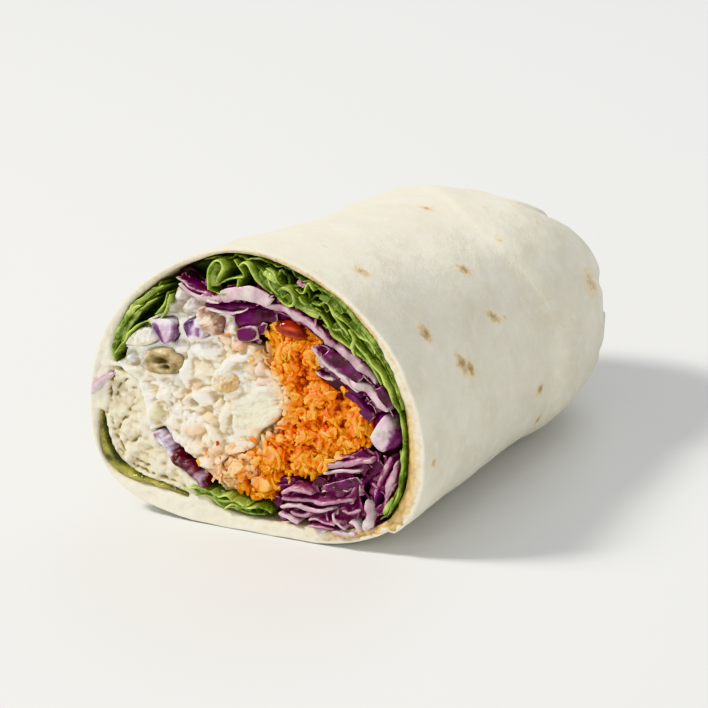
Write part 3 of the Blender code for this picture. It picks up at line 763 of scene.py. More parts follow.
def tortilla_finish():
    """Floury flatbread: pale and mottled, toasted in spots, breadier on the cut, with painted shade."""
    f = Finish("tortilla", 0.62, (0.12, 0.002, (1.0, 0.7, 0.4)), Specular_IOR_Level=0.28)
    skin = f.over((0.81, 0.775, 0.655), (0.73, 0.69, 0.555), f.noise(9.0, 4.0), 0.35, 0.68)
    skin = f.over(skin, (0.85, 0.83, 0.76), f.noise(2.6, 3.0, 3.0), 0.5, 0.75, 0.55)
    skin = f.over(skin, (0.70, 0.57, 0.36), f.noise(1.3, 2.0, 7.0), 0.68, 0.8, 0.35)
    tan = mixed(f.tree, f.noise(0.7, 3.0, 9.0), (0.80, 0.60, 0.30), (0.62, 0.36, 0.12))
    skin = f.over(skin, tan, f.broken("crust", 1.1, 0.9, 4.0, 5.0), 0.35, 0.85)
    toast = f.broken("toast", 1.3, 1.0, 3.0, 2.0, 0.6)
    skin = f.over(skin, (0.84, 0.685, 0.43), toast, 0.0, 0.4, 0.7)
    skin = f.over(skin, (0.39, 0.245, 0.08), toast, 0.3, 0.9, 0.85)
    # painted shade: olive brown, then dark brown where the shade value is high; the same value also holds
    # the yellow tint of the rolled-in end and the rim
    shade = f.attribute("shade")
    skin = f.over(skin, (0.54, 0.43, 0.20), shade, 0.0, 0.7, 0.85)
    f.colour(f.over(skin, (0.12, 0.085, 0.04), shade, 0.55, 1.0, 0.85))
    f.relief(0.5, 2.4, 0.45, 0.5, 0.35)


def salad_finish():
    """Creamy dressing: the painted tint, mottled, oily in places and wetter in some than others."""
    f = Finish("salad", 0.5, (0.2, 0.0012, (1.0, 0.75, 0.45)), Specular_IOR_Level=0.45)
    tint = f.mottle(f.attribute("tint", "Color"), 1.6, 0.10).outputs
    f.colour(f.over(tint["Color"], (0.80, 0.66, 0.42), f.noise(1.1, 3.0, 4.0), 0.62, 0.8, 0.5))
    feed(f.tree, f.shader.inputs["Roughness"], ramp(f.tree, tint["Mask"], (0.3, 0.24), (0.7, 0.5)))
    f.relief(0.45, 1.3, 0.6, 0.55, 0.4)


def carrot_finish():
    """Grated carrot: painted shade makes it red in its hollows, painted highlight bright where it stands
    out, creamy where it is dressed.
    """
    f = Finish("carrot", 0.3, (0.2, 0.0008, (1.0, 0.45, 0.1)))
    orange = ramp(f.tree, f.attribute("shade"), (0.0, (0.30, 0.025, 0.001)), (0.28, (0.84, 0.145, 0.002)),
                  (0.58, (1.0, 0.30, 0.008)), (1.0, (1.0, 0.52, 0.08)))
    orange = f.mottle(orange, 0.9, 0.16).outputs["Color"]
    f.colour(f.over(orange, (0.94, 0.68, 0.40), f.broken("cream", 1.4, 1.4, 3.0, 1.0), 0.35, 0.8, 0.85))
    f.relief(0.3, 0.9, 0.6, 0.6, 0.25)


def cabbage_finish(name, pale, mid, dark, vivid):
    """Red cabbage: purple skins on both sides of a pale core."""
    f = Finish(name, 0.28, (0.12, 0.0012, (1.0, 0.5, 0.9)))
    skin = f.broken("skin", 1.5, 0.9, 5.0, 2.0, 0.65)
    core = f.over(pale, (0.66, 0.61, 0.57), f.noise(2.6, 3.0, 5.0), 0.36, 0.60, 0.95)
    deep = f.over(dark, vivid, f.noise(2.4, 3.0, 8.0), 0.4, 0.66)
    colour = f.over(f.over(core, mid, skin, 0.36, 0.66), deep, skin, 0.66, 0.84)
    colour = mixed(f.tree, f.attribute("tone"), colour, mid)
    # painted shade: near black on the core that fills the space behind the strips
    colour = mixed(f.tree, f.attribute("gap"), colour, (0.022, 0.006, 0.010))
    f.colour(f.mottle(colour, 2.2, 0.16).outputs["Color"])
    f.relief(0.4, 1.8, 0.4, 0.35, 0.3)


def leaf_finish(name, roughness, light, deep, rib):
    """Fresh leaf: deep green with lighter veins and edges, with painted highlight on its cut edge and
    painted shade behind.
    """
    f = Finish(name, roughness, (0.2, 0.0012, (0.5, 1.0, 0.15)), Specular_IOR_Level=0.45)
    where = object_place(f.tree)
    cells = add_node(f.tree, "ShaderNodeTexVoronoi", {"Vector": where, "Scale": 1 / (1.9 * MM)},
                     feature="DISTANCE_TO_EDGE").outputs["Distance"]
    veins = ramp(f.tree, cells, (0.02, 1.0), (0.12, 0.0))
    colour = f.over(deep, light, f.noise(3.2, 3.0, 1.0), 0.35, 0.65)
    colour = mixed(f.tree, math_node(f.tree, "MULTIPLY", veins, 0.35), colour, rib)
    # lighter where the rim value is high, partly the leaf's paler edge and partly painted highlight; near
    # black where the deep value is high, as painted shade
    colour = mixed(f.tree, f.attribute("rim"), colour, rib)
    colour = mixed(f.tree, f.attribute("deep"), colour, (0.012, 0.024, 0.006))
    f.colour(f.mottle(colour, 1.0, 0.12).outputs["Color"])
    f.relief(0.5, 1.6, 0.4, 0.5, 0.35, more=math_node(f.tree, "MULTIPLY", veins, 0.5))


def tinted_finish(name, patch, spread, roughness, second, share):
    """A moist piece whose painted tint is broken up by patches of a second colour."""
    f = Finish(name, roughness, (0.2, 0.0015))
    tint = f.mottle(f.attribute("tint", "Color"), patch, spread).outputs["Color"]
    f.colour(f.over(tint, second, f.noise(patch * 0.8, 4.0, 6.0), 0.55, 0.75, share))
    f.relief(0.4, patch, 0.5, 0.5, 0.3)


tortilla_finish()
salad_finish()
carrot_finish()
cabbage_finish("cabbage", (0.55, 0.37, 0.43), (0.32, 0.10, 0.185), (0.045, 0.004, 0.011),
               (0.155, 0.010, 0.115))
cabbage_finish("cabbage_rib", (0.66, 0.52, 0.58), (0.42, 0.19, 0.32), (0.12, 0.02, 0.09),
               (0.26, 0.05, 0.22))
leaf_finish("lettuce", 0.32, (0.10, 0.18, 0.015), (0.022, 0.055, 0.006), (0.48, 0.58, 0.16))
leaf_finish("old_leaf", 0.25, (0.22, 0.20, 0.03), (0.12, 0.11, 0.015), (0.46, 0.42, 0.10))
tinted_finish("chicken", 1.5, 0.14, 0.42, (0.86, 0.78, 0.64), 0.6)
tinted_finish("gherkin", 1.2, 0.14, 0.22, (0.50, 0.46, 0.24), 0.5)
tinted_finish("onion", 1.0, 0.12, 0.22, (0.80, 0.72, 0.76), 0.35)
tinted_finish("pepper", 1.0, 0.12, 0.16, (0.62, 0.10, 0.03), 0.5)


# ---------------- tortilla

AROUND = 352
EDGE_ROUND = 0.5
SKIN_ROWS = np.r_[EDGE_ROUND * (1 - np.cos(np.radians([0, 18, 36, 54, 72, 90]))), 0.68,
                  np.linspace(1.0, 60, 104), np.linspace(60.6, LENGTH, 66)[:-1], LENGTH]
SKIN_RADIUS = 31.0          # the roll's mean radius
SEAM_RADIUS = 30.0          # its radius low on the right
SEAM = -43.0                # angle at which the sheet's outer edge lies, low on the right
SEAM_STEP = 0.9
SEAM_END = (70, 92)         # depths between which the edge fades into the closed end
TORN = -42                  # angle at which the cut is torn and its layers part
GATHER_START = 58           # depth at which the creases of the closed end start
FLAP_TOP = 104              # angle at which the tucked-in flap lies furthest back
FLAP_EDGE = 57.5            # depth of its edge at the sides, and how much more it is on top
FLAP_MORE = 12.0
ROOM_STEP = 0.6             # how far points on the rims of the rooms are apart
ROOM_DEPTHS = (0.3, 0.9, 2.5, 6, 14, 30, FILL_DEPTH + 0.3)
CUT_STEP = 0.5
# Toasted spots: angle, depth, length round the roll and along it, turn, strength
TOAST = [
    (83, 57, 2.8, 2.4, 10, 0.85), (50, 42, 2.3, 3, 5, 0.95), (30, 40, 1.9, 3.8, 35, 0.9),
    (35, 14.5, 2.5, 3, -25, 1), (20.5, 21.8, 3.2, 2.4, -30, 1), (18, 24, 2.6, 2.3, -10, 1),
    (-6, 52, 3.1, 2.4, 10, 0.95), (28, 44, 1.4, 3.2, 25, 0.5), (24, 82.5, 7, 7, 0, 0.7),
    (63, 12.5, 2.8, 2.4, -30, 0.9), (-7, 4, 2.4, 1.8, 0, 0.85), (71, 68.5, 2.4, 2, 0, 0.5),
    (67, 79, 3, 2.4, 0, 0.45), (56, 78.5, 3, 2, 0, 0.5), (55, 60.5, 2.6, 1.8, -30, 0.55),
    (65, 29.5, 2.4, 2.2, 0, 0.35), (31, 55, 3.4, 1.6, 0, 0.45), (21, 68, 2.6, 2, 0, 0.4),
    (45, 10, 2.6, 1.4, -20, 0.5), (-2, 14.5, 2.8, 2.4, 0, 0.45), (-21, 23.5, 3.4, 2, 20, 0.5),
    (78, 14, 2, 1.4, 0, 0.5), (19, 3, 2, 1.6, 0, 0.4)]
HIDDEN_TOASTS = 34
FRECKLES = 90


def toast_spots():
    """The spots seen in front, then loosely spread ones for the sides that turn away."""
    rng = np.random.default_rng(11)
    spots = list(TOAST)
    while len(spots) < len(TOAST) + HIDDEN_TOASTS:
        angle, depth = rng.uniform(95, 335), rng.uniform(3, 99)
        if all(math.hypot((angle - s[0] % 360) * 0.6, depth - s[1]) > 9 for s in spots):
            long, wide = rng.uniform(2.0, 4.6), rng.uniform(1.5, 3.2)
            spots.append((angle, depth, long, wide, rng.uniform(-40, 40), rng.uniform(0.45, 1.15)))
    for _ in range(FRECKLES):
        size = rng.uniform(0.9, 1.7)
        spots.append((rng.uniform(0, 360), rng.uniform(2, 97), size, size, 0, rng.uniform(0.15, 0.42)))
    return spots


def angle_past(degrees, at):
    """How far an angle is past another, from -180 to 180 degrees."""
    return (degrees - at + 180) % 360 - 180


def skin_pattern(degrees, depth):
    """How toasted the skin is at each point, and how far a blister lifts it."""
    toast = np.full(depth.shape, -1.0)
    lift = np.zeros(depth.shape)
    for at, deep, long, wide, turn, strength in toast_spots():
        around = angle_past(degrees, at) * math.pi / 180 * SKIN_RADIUS
        back = depth - deep
        near = (np.abs(around) < 3 * long + 4) & (np.abs(back) < 3 * wide + 4)
        a, b = turned(around[near], back[near], turn)
        far = np.hypot(a / (long / 2), b / (wide / 2))
        toast[near] = np.maximum(toast[near], strength - 0.5 * far)
        if strength > 0.6:
            lift[near] = np.maximum(lift[near], 0.16 * fade(far, 1.5))
    return toast, lift


def skin_rings():
    """Plain rings from the cut to the middle of the closed end, with their angles, depths and sizes."""
    angles = 2 * np.pi * (np.arange(AROUND) + 0.5) / AROUND
    rings = [skin_ring(angles, depth) for depth in SKIN_ROWS]
    last = rings[-1]
    middle = last.mean(0)
    sizes = 1 - np.linspace(0, 1, 22)[1:] ** 0.8
    sizes = sizes[sizes > 0.02]
    dome = curve(END_DOME, 0.02)
    for size in sizes:
        rise = np.interp(-size, -dome[:, 0], dome[:, 1])
        rings.append(middle + (last - middle) * size + [0, rise, 0])
    depth = np.r_[SKIN_ROWS, LENGTH + (1 - sizes) * 20]
    depth, degrees = np.meshgrid(depth, np.degrees(angles), indexing="ij")
    return np.array(rings), degrees, depth, np.r_[np.ones(len(SKIN_ROWS)), sizes][:, None]


def skin_relief(skin, degrees, depth, size):
    """How far the skin stands out, and its toast, crust and shade."""
    def over_skin(*settings):
        return layered(skin.reshape(-1, 3), *settings).reshape(depth.shape)

    toast, blister = skin_pattern(degrees, depth)
    relief = 0.30 * over_skin(17, 2, 3) + 0.10 * over_skin(4.5, 2, 8) - 0.2 + blister
    # creases that gather towards the middle of the closed end
    swirl = degrees + 0.9 * (depth - 60).clip(0)
    gather = np.sin(np.radians(swirl * 9)) + 0.6 * np.sin(np.radians(swirl * 16 + 40))
    gather = 0.32 * gather.clip(0) ** 2 * soft_step(0.03, 0.3, size) + 0.15
    relief -= soft_step(GATHER_START, LENGTH, depth) ** 2 * gather
    # the flap that is tucked in: a soft step with its edge on the side
    top = fade(degrees - FLAP_TOP, 24)
    edge = FLAP_EDGE + 1.6 * np.sin(np.radians(degrees * 2 + 30)) + 0.8 * np.sin(np.radians(degrees * 5))
    past = depth - (edge + FLAP_MORE * top)
    relief += (0.3 + 0.8 * top) * soft_step(0, 1.6 + 1.4 * top, past) * fade(past.clip(0), 10)
    relief += top * (0.5 * fade(depth - 53, 7) - 0.6 * fade(past + 2.5, 4))
    # the sheet's outer edge, a lip along the roll low on the right
    seam = SEAM + 1.6 * np.sin(depth / 11.0) + 0.8 * np.sin(depth / 3.7)
    under = angle_past(seam, degrees) * math.pi / 180 * SEAM_RADIUS
    here = 1 - soft_step(*SEAM_END, depth)
    relief -= SEAM_STEP * soft_step(0, 0.7, under) * np.exp(-(under / 8).clip(0) ** 1.5) * here
    # nothing is lifted where the roll lies on the ground
    relief = np.where(relief > 0, relief * soft_step(0, 3.0, skin[..., 2]), relief)
    # the rounded and partly torn edge of the cut
    rise = EDGE_ROUND ** 2 - (EDGE_ROUND - depth.clip(0, EDGE_ROUND)) ** 2
    rounding = EDGE_ROUND - np.sqrt(np.maximum(rise, 0))
    ragged = 1.8 * fade(angle_past(degrees, TORN), 16) * over_skin(1.3, 2, 45)
    rounding *= (1 + ragged).clip(0.4, 2.4)
    # painted shade just past the lip of the sheet's outer edge
    shade = 0.35 * (fade(under - 0.25, 0.5) * here)
    return relief - rounding, toast, 0.3 * soft_step(1.6, 0, depth), shade


def tortilla():
    """The rolled sheet as one closed skin: its outside, its cut and the rooms for the fillings."""
    skin, degrees, depth, size = skin_rings()
    out = np.cross(np.gradient(skin, axis=0), np.roll(skin, -1, 1) - np.roll(skin, 1, 1))
    out /= np.maximum(np.linalg.norm(out, axis=-1), 1e-9)[..., None]
    relief, *looks = skin_relief(skin, degrees, depth, size)
    skin = skin + out * relief[..., None]
    skin[..., 2] = np.maximum(skin[..., 2], 0)
    tip = skin[-1].mean(0) + [0, -0.1, 0]
    total = depth.size + 1
    index = np.arange(depth.size).reshape(depth.shape)
    faces = [np.roll(tube(index), -1, 1),
             np.stack([index[-1], np.full(AROUND, depth.size), np.roll(index[-1], -1)], 1)]
    # rows of place, toast, crust and shade
    rows = [np.column_stack([skin.reshape(-1, 3), *(look.ravel() for look in looks)]), [[*tip, -1, 0, 0.3]]]

    # the cut: the sheet's thickness, and the lump at its inner end
    sides = band(TUCKED_KEYS, 0.2)
    rooms = [inset(evened(CAVITY, 1.2), -HALF_GAP), loop(sides[0], sides[1][::-1])]
    rooms = [evened(room, ROOM_STEP) for room in rooms]
    rim = unplace(skin[0] * MM + CUT_MIDDLE)[:, :2]
    flat, triangles = fill(rim, rooms, CUT_STEP, 21)
    room_edge = np.minimum(*(rim_distance(flat, room) for room in rooms))
    cut, crust, shade = cut_relief(flat, rim_distance(flat, rim), room_edge)
    # painted shade where the cut is sunk
    sunk = unit((cut - blurred(cut, triangles, 12)) / 0.5)
    shade = unit(shade + 0.35 * sunk)
    inner = slice(AROUND, None)
    rows.append(cut_rows(flat[inner], cut[inner], crust[inner], shade[inner]))
    index = np.r_[:AROUND, total:total + len(flat) - AROUND]
    total += len(flat) - AROUND
    faces.append(index[triangles])

    # the rooms behind it
    start = AROUND
    for room in rooms:
        mouth = slice(start, start + len(room))
        for deep in ROOM_DEPTHS:
            at = np.where(deep < 1, cut[mouth] + deep, deep)
            # the room walls are painted with shade, darker further in
            rows.append(cut_rows(room, at, 0, min(0.1 + deep * 0.1, 0.9)))
        behind = total + np.arange(len(room) * len(ROOM_DEPTHS)).reshape(-1, len(room))
        faces += [flipped(tube(np.vstack([index[mouth], behind]))), behind[-1][fill(room, [], 0)[1]]]
        start += len(room)
        total += behind.size
    rows = np.concatenate(rows)
    build_piece("tortilla_wrap", "tortilla", "tortilla", rows[:, :3] * MM + CUT_MIDDLE, faces,
                placed=True, toast=rows[:, 3], crust=rows[:, 4], shade=rows[:, 5])


def cut_rows(flat, depth, crust, shade):
    """Places in millimetres from the middle of the cut, not toasted, with their crust and shade."""
    rows = np.zeros((len(flat), 6))
    rows[:, :3] = (place(np.column_stack([flat, depth])) - CUT_MIDDLE) / MM
    rows[:, 3], rows[:, 4], rows[:, 5] = -1, crust, shade
    return rows


# Creases on the cut, sunk and painted with shade: middle line, half width, depth
CREASES = [([(-30.6, 31.9), (-28.2, 31.3), (-26.2, 31.6), (-24.2, 30.6)], 0.4, 1.8),
           ([(-31, 30.4), (-31.3, 26), (-31.9, 22.6), (-32.3, 20)], 0.3, 0.9),
           ([(-30.2, 25), (-29.3, 28), (-27.2, 30)], 0.16, 0.6),
           ([(-31, 20.6), (-30.4, 17), (-28.4, 13.6), (-25.4, 11.6), (-22, 10.8)], 0.16, 0.5),
           ([(-29.8, 18.2), (-28.9, 20.4), (-27.4, 21.4)], 0.2, 0.6),
           ([(-30, 13.6), (-27, 10.6), (-22.4, 9.2), (-17.2, 8.2)], 0.22, 0.6),
           ([(-26.8, 15.6), (-25.2, 17.2), (-24.6, 18.6)], 0.35, 0.8),
           ([(-27.4, 22.6), (-26.2, 25.4), (-26.4, 28.2)], 0.18, 0.5)]
CRUMB_SIZES = ((2.2, 16, 0.9), (1.1, 80, 0.75), (0.6, 260, 0.6))


def cut_relief(flat, edge, room_edge):
    """Depth, crust and shade of the cut tortilla."""
    depth = 0.10 + 0.28 * layered(flat, 5.0, 2, 31) + 0.2 * layered(flat, 1.0, 3, 32)
    depth += 0.45 * fade(room_edge, 0.5)
    angle = np.degrees(np.arctan2(flat[:, 1] - 26, flat[:, 0]))
    # layers that part at the lower right
    corner = fade(angle - TORN, 20)
    slanted = flat @ np.array([[0.8, -0.6], [0.6, 0.8]])
    layers = np.sin(edge * 2 * np.pi / 1.2 + 2.6 * layered(flat, 2.6, 2, 34))
    layers = layers * (0.5 + 0.8 * noise(flat, 3.0, 33))
    pits = patches(slanted, 1.0, 38, 0.25, 0.6) * patches(flat, 2.7, 40, -0.2, 0.3)
    strands = layered(slanted, 0.8, 3, 35)
    depth += corner * (0.4 * layers + 0.6 * strands + 0.5 * pits + 0.1)
    # the inner end is rolled in and crumbly
    lump = inner_end(flat)
    lumps = spread_lumps(np.random.default_rng(8), np.array([(-33, 7), (-20, 7), (-20, 33), (-33, 33)]),
                         CRUMB_SIZES, ("cream", "beige"))
    height, _ = heap(flat, lumps, "cream")
    crumb = layered(slanted, 1.1, 3, 36)
    holes = patches(slanted, 0.9, 43, 0.4, 0.6) * patches(flat, 4.0, 44, 0.0, 0.4)
    depth += lump * (0.6 - 0.6 * height + 0.28 * crumb + 0.25 * holes)
    # the inner end's own yellow tint, paler next to the salad, and painted shade in its holes
    from_salad = soft_step(0.0, 4.0, line_distance(flat, LUMP_SIDE))
    shade = lump * (np.clip(0.24 + 0.5 * crumb, 0.04, 0.5) * (0.35 + 0.65 * from_salad) + 0.22 * holes)
    for keys, half, deep in CREASES:
        near = fade(line_distance(flat, curve(keys)), half)
        near = near * np.clip(0.6 + 0.9 * noise(flat, 1.5, 39), 0, 1.2)
        depth += deep * near
        # painted shade in the crease
        shade += 0.8 * near
    depth = np.maximum(depth, -0.15) * soft_step(0, 0.9, edge + 0.6 * corner)
    # toasted outside at the top and right, and in specks on the lump
    specks = patches(flat, 0.9, 41, 0.5, 0.62) * patches(flat, 5.0, 42, 0.0, 0.4)
    top = fade(angle - 78, 42)
    right = fade(angle + 8, 30)
    outer = fade(edge, 1.2)
    crust = top * (0.55 * outer + 0.16) + right * (0.7 * fade(room_edge, 1.5) + 0.36)
    crust += corner * (0.9 + 0.5 * layered(flat, 1.1, 3, 37))
    crust += 0.55 * fade(angle - 45, 25) * outer
    crust = crust * (1 - lump) + 0.5 * specks * lump
    # painted shade between the parted layers and in the pits of the torn corner
    shade += corner * (0.2 * unit(layers) + 0.35 * unit(strands) + 0.3 * pits)
    # the sheet's own yellower tint at the top and right
    shade += 0.12 * top + 0.1 * right
    # painted shade next to the mouths of the rooms
    shade += 0.22 * fade(room_edge, 0.35) * (1 - lump)
    return depth, unit(crust), unit(shade)


def inner_end(flat):
    """1 on the tortilla's rolled-in inner end, 0 on the ring round the fillings."""
    s, z = flat.T
    line = curve([(-31.6, 31), (-31.6, 24), (-31.4, 18), (-30.2, 13.6), (-27.4, 9.6), (-21, 8.2), (-9, 5.0)])
    return (soft_step(-0.4, 0.5, line_distance(flat, line)) * soft_step(-9.0, -11.0, s)
            * soft_step(32.2, 31.4, z) * inside(flat, loop(line, [(-9, 9), (-20, 22), (-24, 31)])))


# ---------------- chicken salad

TINTS = {
    "white": (0.93, 0.90, 0.82), "cream": (0.89, 0.81, 0.64), "beige": (0.78, 0.68, 0.50),
    "tan": (0.80, 0.63, 0.34), "olive": (0.60, 0.54, 0.28), "peach": (0.91, 0.655, 0.40),
    "orange": (0.88, 0.36, 0.07), "mauve": (0.40, 0.22, 0.30), "rose": (0.74, 0.50, 0.42),
    "dusk": (0.52, 0.46, 0.44), "moss": (0.34, 0.33, 0.20), "shade_grey": (0.58, 0.60, 0.60),
    "slice": (0.72, 0.685, 0.54)}
# Lumps seen on the cut: middle, half length and width, turn in degrees, height, tint
SALAD_LUMPS = [
    (-5.6, 36.4, 5, 1.4, 50, 2.3, "white"), (-8.4, 31.6, 1.8, 1.1, 60, 2, "white"),
    (-2.6, 38.6, 2, 1.2, 20, 1.8, "white"), (-6.9, 24.2, 4.2, 1.35, 74, 1.9, "cream"),
    (-8.4, 26.6, 1.8, 1, 60, 1.5, "beige"), (-15, 33.4, 3.8, 1.5, 78, 1.9, "white"),
    (-11.6, 38.2, 4.4, 2.3, 8, 1.5, "white"), (-16.4, 38.6, 2.2, 1.6, 40, 1.5, "white"),
    (-21.4, 22.8, 3, 1.3, 84, 1.8, "olive"), (-20.3, 27.6, 2.2, 2.1, 30, 1.9, "white"),
    (-10.5, 23.3, 1.7, 1.3, 10, 1.7, "tan"), (-14.2, 20.4, 3.2, 1.5, 22, 1.3, "peach"),
    (-18.4, 20.6, 2.4, 1.5, -20, 1.3, "cream"), (-17.6, 17.6, 2.4, 1.3, -40, 1.3, "white"),
    (-11, 13.4, 2.6, 1.7, -30, 1.4, "cream"), (-7.2, 14.2, 2.3, 1.6, 10, 1.6, "rose"),
    (-9.2, 17.2, 2.2, 1.4, 30, 1.4, "peach"), (-4.6, 17, 2, 1.3, 0, 1.5, "peach"),
    (0.6, 36.4, 1.5, 1.3, 60, 1.7, "mauve"), (1.6, 34.2, 2.4, 1.2, 30, 1.5, "rose"),
    (-3.6, 41.1, 2.2, 1.3, 8, 1.9, "orange"), (-6.8, 41.9, 2.2, 1.4, -20, 1.5, "peach"),
    (-5.6, 44.2, 1.8, 1.5, 60, 1.4, "rose"), (-13.4, 47.6, 2.4, 1.8, 30, 1.4, "dusk"),
    (-15.6, 50, 1.8, 1.3, 60, 1.5, "dusk"), (-11.8, 49.6, 1.6, 1.1, 0, 1.3, "cream"),
    (-17.4, 47.2, 2, 1.6, 70, 1.4, "moss"), (-13, 44.8, 1.9, 1.3, 0, 1.5, "white"),
    # the grey lump left of the gherkin is painted shade
    (-19, 45.4, 1.7, 1.2, 30, 1.3, "dusk"), (-26.3, 34.6, 1.8, 1.2, 80, 1.8, "shade_grey"),
    (-25.4, 32.2, 1.4, 1, 0, 1.5, "cream"), (-22.8, 31.4, 1.7, 0.9, 10, 1.4, "peach"),
    (-12.4, 28.4, 2, 0.8, -40, 1.4, "cream"), (-14.8, 27.6, 1.9, 0.7, 50, 1.4, "beige"),
    (-10.6, 30.2, 2.2, 0.8, 30, 1.4, "cream"), (-13.6, 25.2, 2.1, 0.8, -20, 1.3, "cream"),
    (-17.2, 24.2, 1.9, 1.1, 70, 1.4, "white"), (-11.9, 33.6, 1.8, 1.2, 60, 1.3, "cream"),
    (-3.2, 14.6, 1.6, 1.1, 40, 1.4, "cream")]
SLICE = (-0.4, 25.2, 4.9, 7.2)          # the smooth slice of chicken: middle and half sizes
SALAD_SIZES = ((2.8, 30, 1.5), (1.6, 90, 1.2))
DRESSING = 0.55             # how high the dressing stands between the lumps
SALAD_STEP = 0.28
# Painted shade for the crevices between lumps, and painted highlight for the crests
CREVICE_SHADE = (0.43, 0.335, 0.17)
CREST_HIGHLIGHT = (0.97, 0.95, 0.89)
SHADE_REACH = 0.45                 # how far a place is sunk, or stands out, when it has that colour in full


def spread_lumps(rng, outline, sizes, tints):
    """Lumps strewn over an outline, in the same form as the ones that are listed."""
    low, high = outline.min(0), outline.max(0)
    lumps = []
    for radius, wanted, height in sizes:
        made = []
        for _ in range(5000):
            at = rng.uniform(low, high)
            if len(made) < wanted and all(math.dist(at, other) > radius * 0.8 for other in made):
                made.append(at)
                size = radius * rng.uniform(0.7, 1.15)
                lumps.append((*at, size, size * rng.uniform(0.5, 1.0), rng.uniform(0, 180),
                              height * rng.uniform(0.6, 1.1), tints[int(rng.integers(len(tints)))]))
    return lumps


def heap(flat, lumps, base, warp=0.6, level=0.0):
    """Height and colour of lumps that lie over each other, pulled out of round.

    level is how high the dressing stands between them.
    """
    flat = flat + warp * np.stack([noise(flat, 2.4, 61), noise(flat, 2.4, 62)], 1)
    flat = flat + 0.45 * warp * np.stack([noise(flat, 0.9, 63), noise(flat, 0.9, 64)], 1)
    height = 1e-3 + np.clip(level + 0.45 * layered(flat, 3.4, 2, 65), 0, None) ** 4
    weight = 0.02 + 1.3 * height
    colour = np.outer(weight, TINTS[base])
    for s, z, long, wide, turn, high, tint in lumps:
        a, b = flat[:, 0] - s, flat[:, 1] - z
        near = np.hypot(a, b) < long
        a, b = turned(a[near], b[near], turn)
        dome = high * unit(1 - np.hypot(a / long, b / wide) ** 2) ** 0.8
        height[near] += dome ** 4
        weight[near] += dome ** 5
        colour[near] += (dome ** 5)[:, None] * TINTS[tint]
    return height ** 0.25, colour / weight[:, None]


def fibres(flat, seed):
    """Fine relief drawn out along a direction that wanders."""
    s, z = flat.T
    turn = 0.7 + 2.2 * noise(flat, 9.0, seed)
    length = s * np.cos(turn) + z * np.sin(turn)
    return layered((length * 0.3, z * np.cos(turn) - s * np.sin(turn)), 0.8, 2, seed + 1)


def blurred(values, triangles, rounds):
    """Values on a mesh, evened out between neighbours."""
    count = len(values)
    a, b = triangles.ravel(), np.roll(triangles, -1, 1).ravel()
    share = np.maximum(np.bincount(a, minlength=count) + np.bincount(b, minlength=count), 1)
    for _ in range(rounds):
        around = np.bincount(a, values[b], count) + np.bincount(b, values[a], count)
        values = 0.4 * values + 0.6 * around / share
    return values


def blend(colour, other, share):
    share = unit(share)[:, None]
    return colour * (1 - share) + np.asarray(other) * share


def shade_and_highlight(colour, sunk):
    """Painted shade where a surface is sunk between lumps, painted highlight on what stands out."""
    sunk = sunk / SHADE_REACH
    colour = blend(colour, np.array(CREVICE_SHADE) * (0.4 + colour), 0.85 * unit(sunk))
    return blend(colour, CREST_HIGHLIGHT, 0.35 * unit(-sunk))


def slice_share(flat):
    """1 on the smooth slice of chicken."""
    s, z, wide, high = SLICE
    tilt = 0.25 * (flat[:, 1] - z)
    away = np.hypot((flat[:, 0] - s - tilt) / wide, (flat[:, 1] - z) / high)
    return soft_step(1.25, 0.75, away + 0.22 * layered(flat, 2.6, 2, 9))


def at_side(flat):
    """1 where the salad lies flush against the tortilla's inner end."""
    return fade(line_distance(flat, LUMP_SIDE), 1.0)


def salad_front(lumps, flat, edge):
    """Depth of the salad on the cut, hollowed where other pieces lie in it."""
    height, _ = heap(flat, lumps, "cream", 0.7, DRESSING)
    smooth = slice_share(flat)
    height = height * (1 - smooth) + (1.45 + 0.3 * noise(flat, 3.4, 4)) * smooth
    granular = spot_at(flat, -14, 27, 5.0, 4.5) + 0.4 * noise(flat, 5.0, 12)
    crumbly = (0.28 + 0.3 * granular) * layered(flat, 1.0, 3, 15) + 0.2 * fibres(flat, 18)
    depth = 2.3 - 1.3 * height + crumbly * (1 - 0.5 * smooth)
    depth += 0.5 * noise(flat, 7.0, 17)
    for keys, *_, bed in CHUNKS.values():
        hole = curve(keys, KEY_STEP, closed=True)
        out = rim_distance(flat, hole) * np.where(inside(flat, hole), -1, 1)
        depth += 2.4 * soft_step(bed, bed - 0.6, out)
    flush = 0.3 * (depth - 1.2) + 0.45 * layered(flat, 1.2, 3, 13)
    depth = depth * (1 - at_side(flat)) + flush * at_side(flat)
    return depth + 0.5 * (1 - np.sqrt(unit(1 - unit(1 - edge / 0.6) ** 2)))


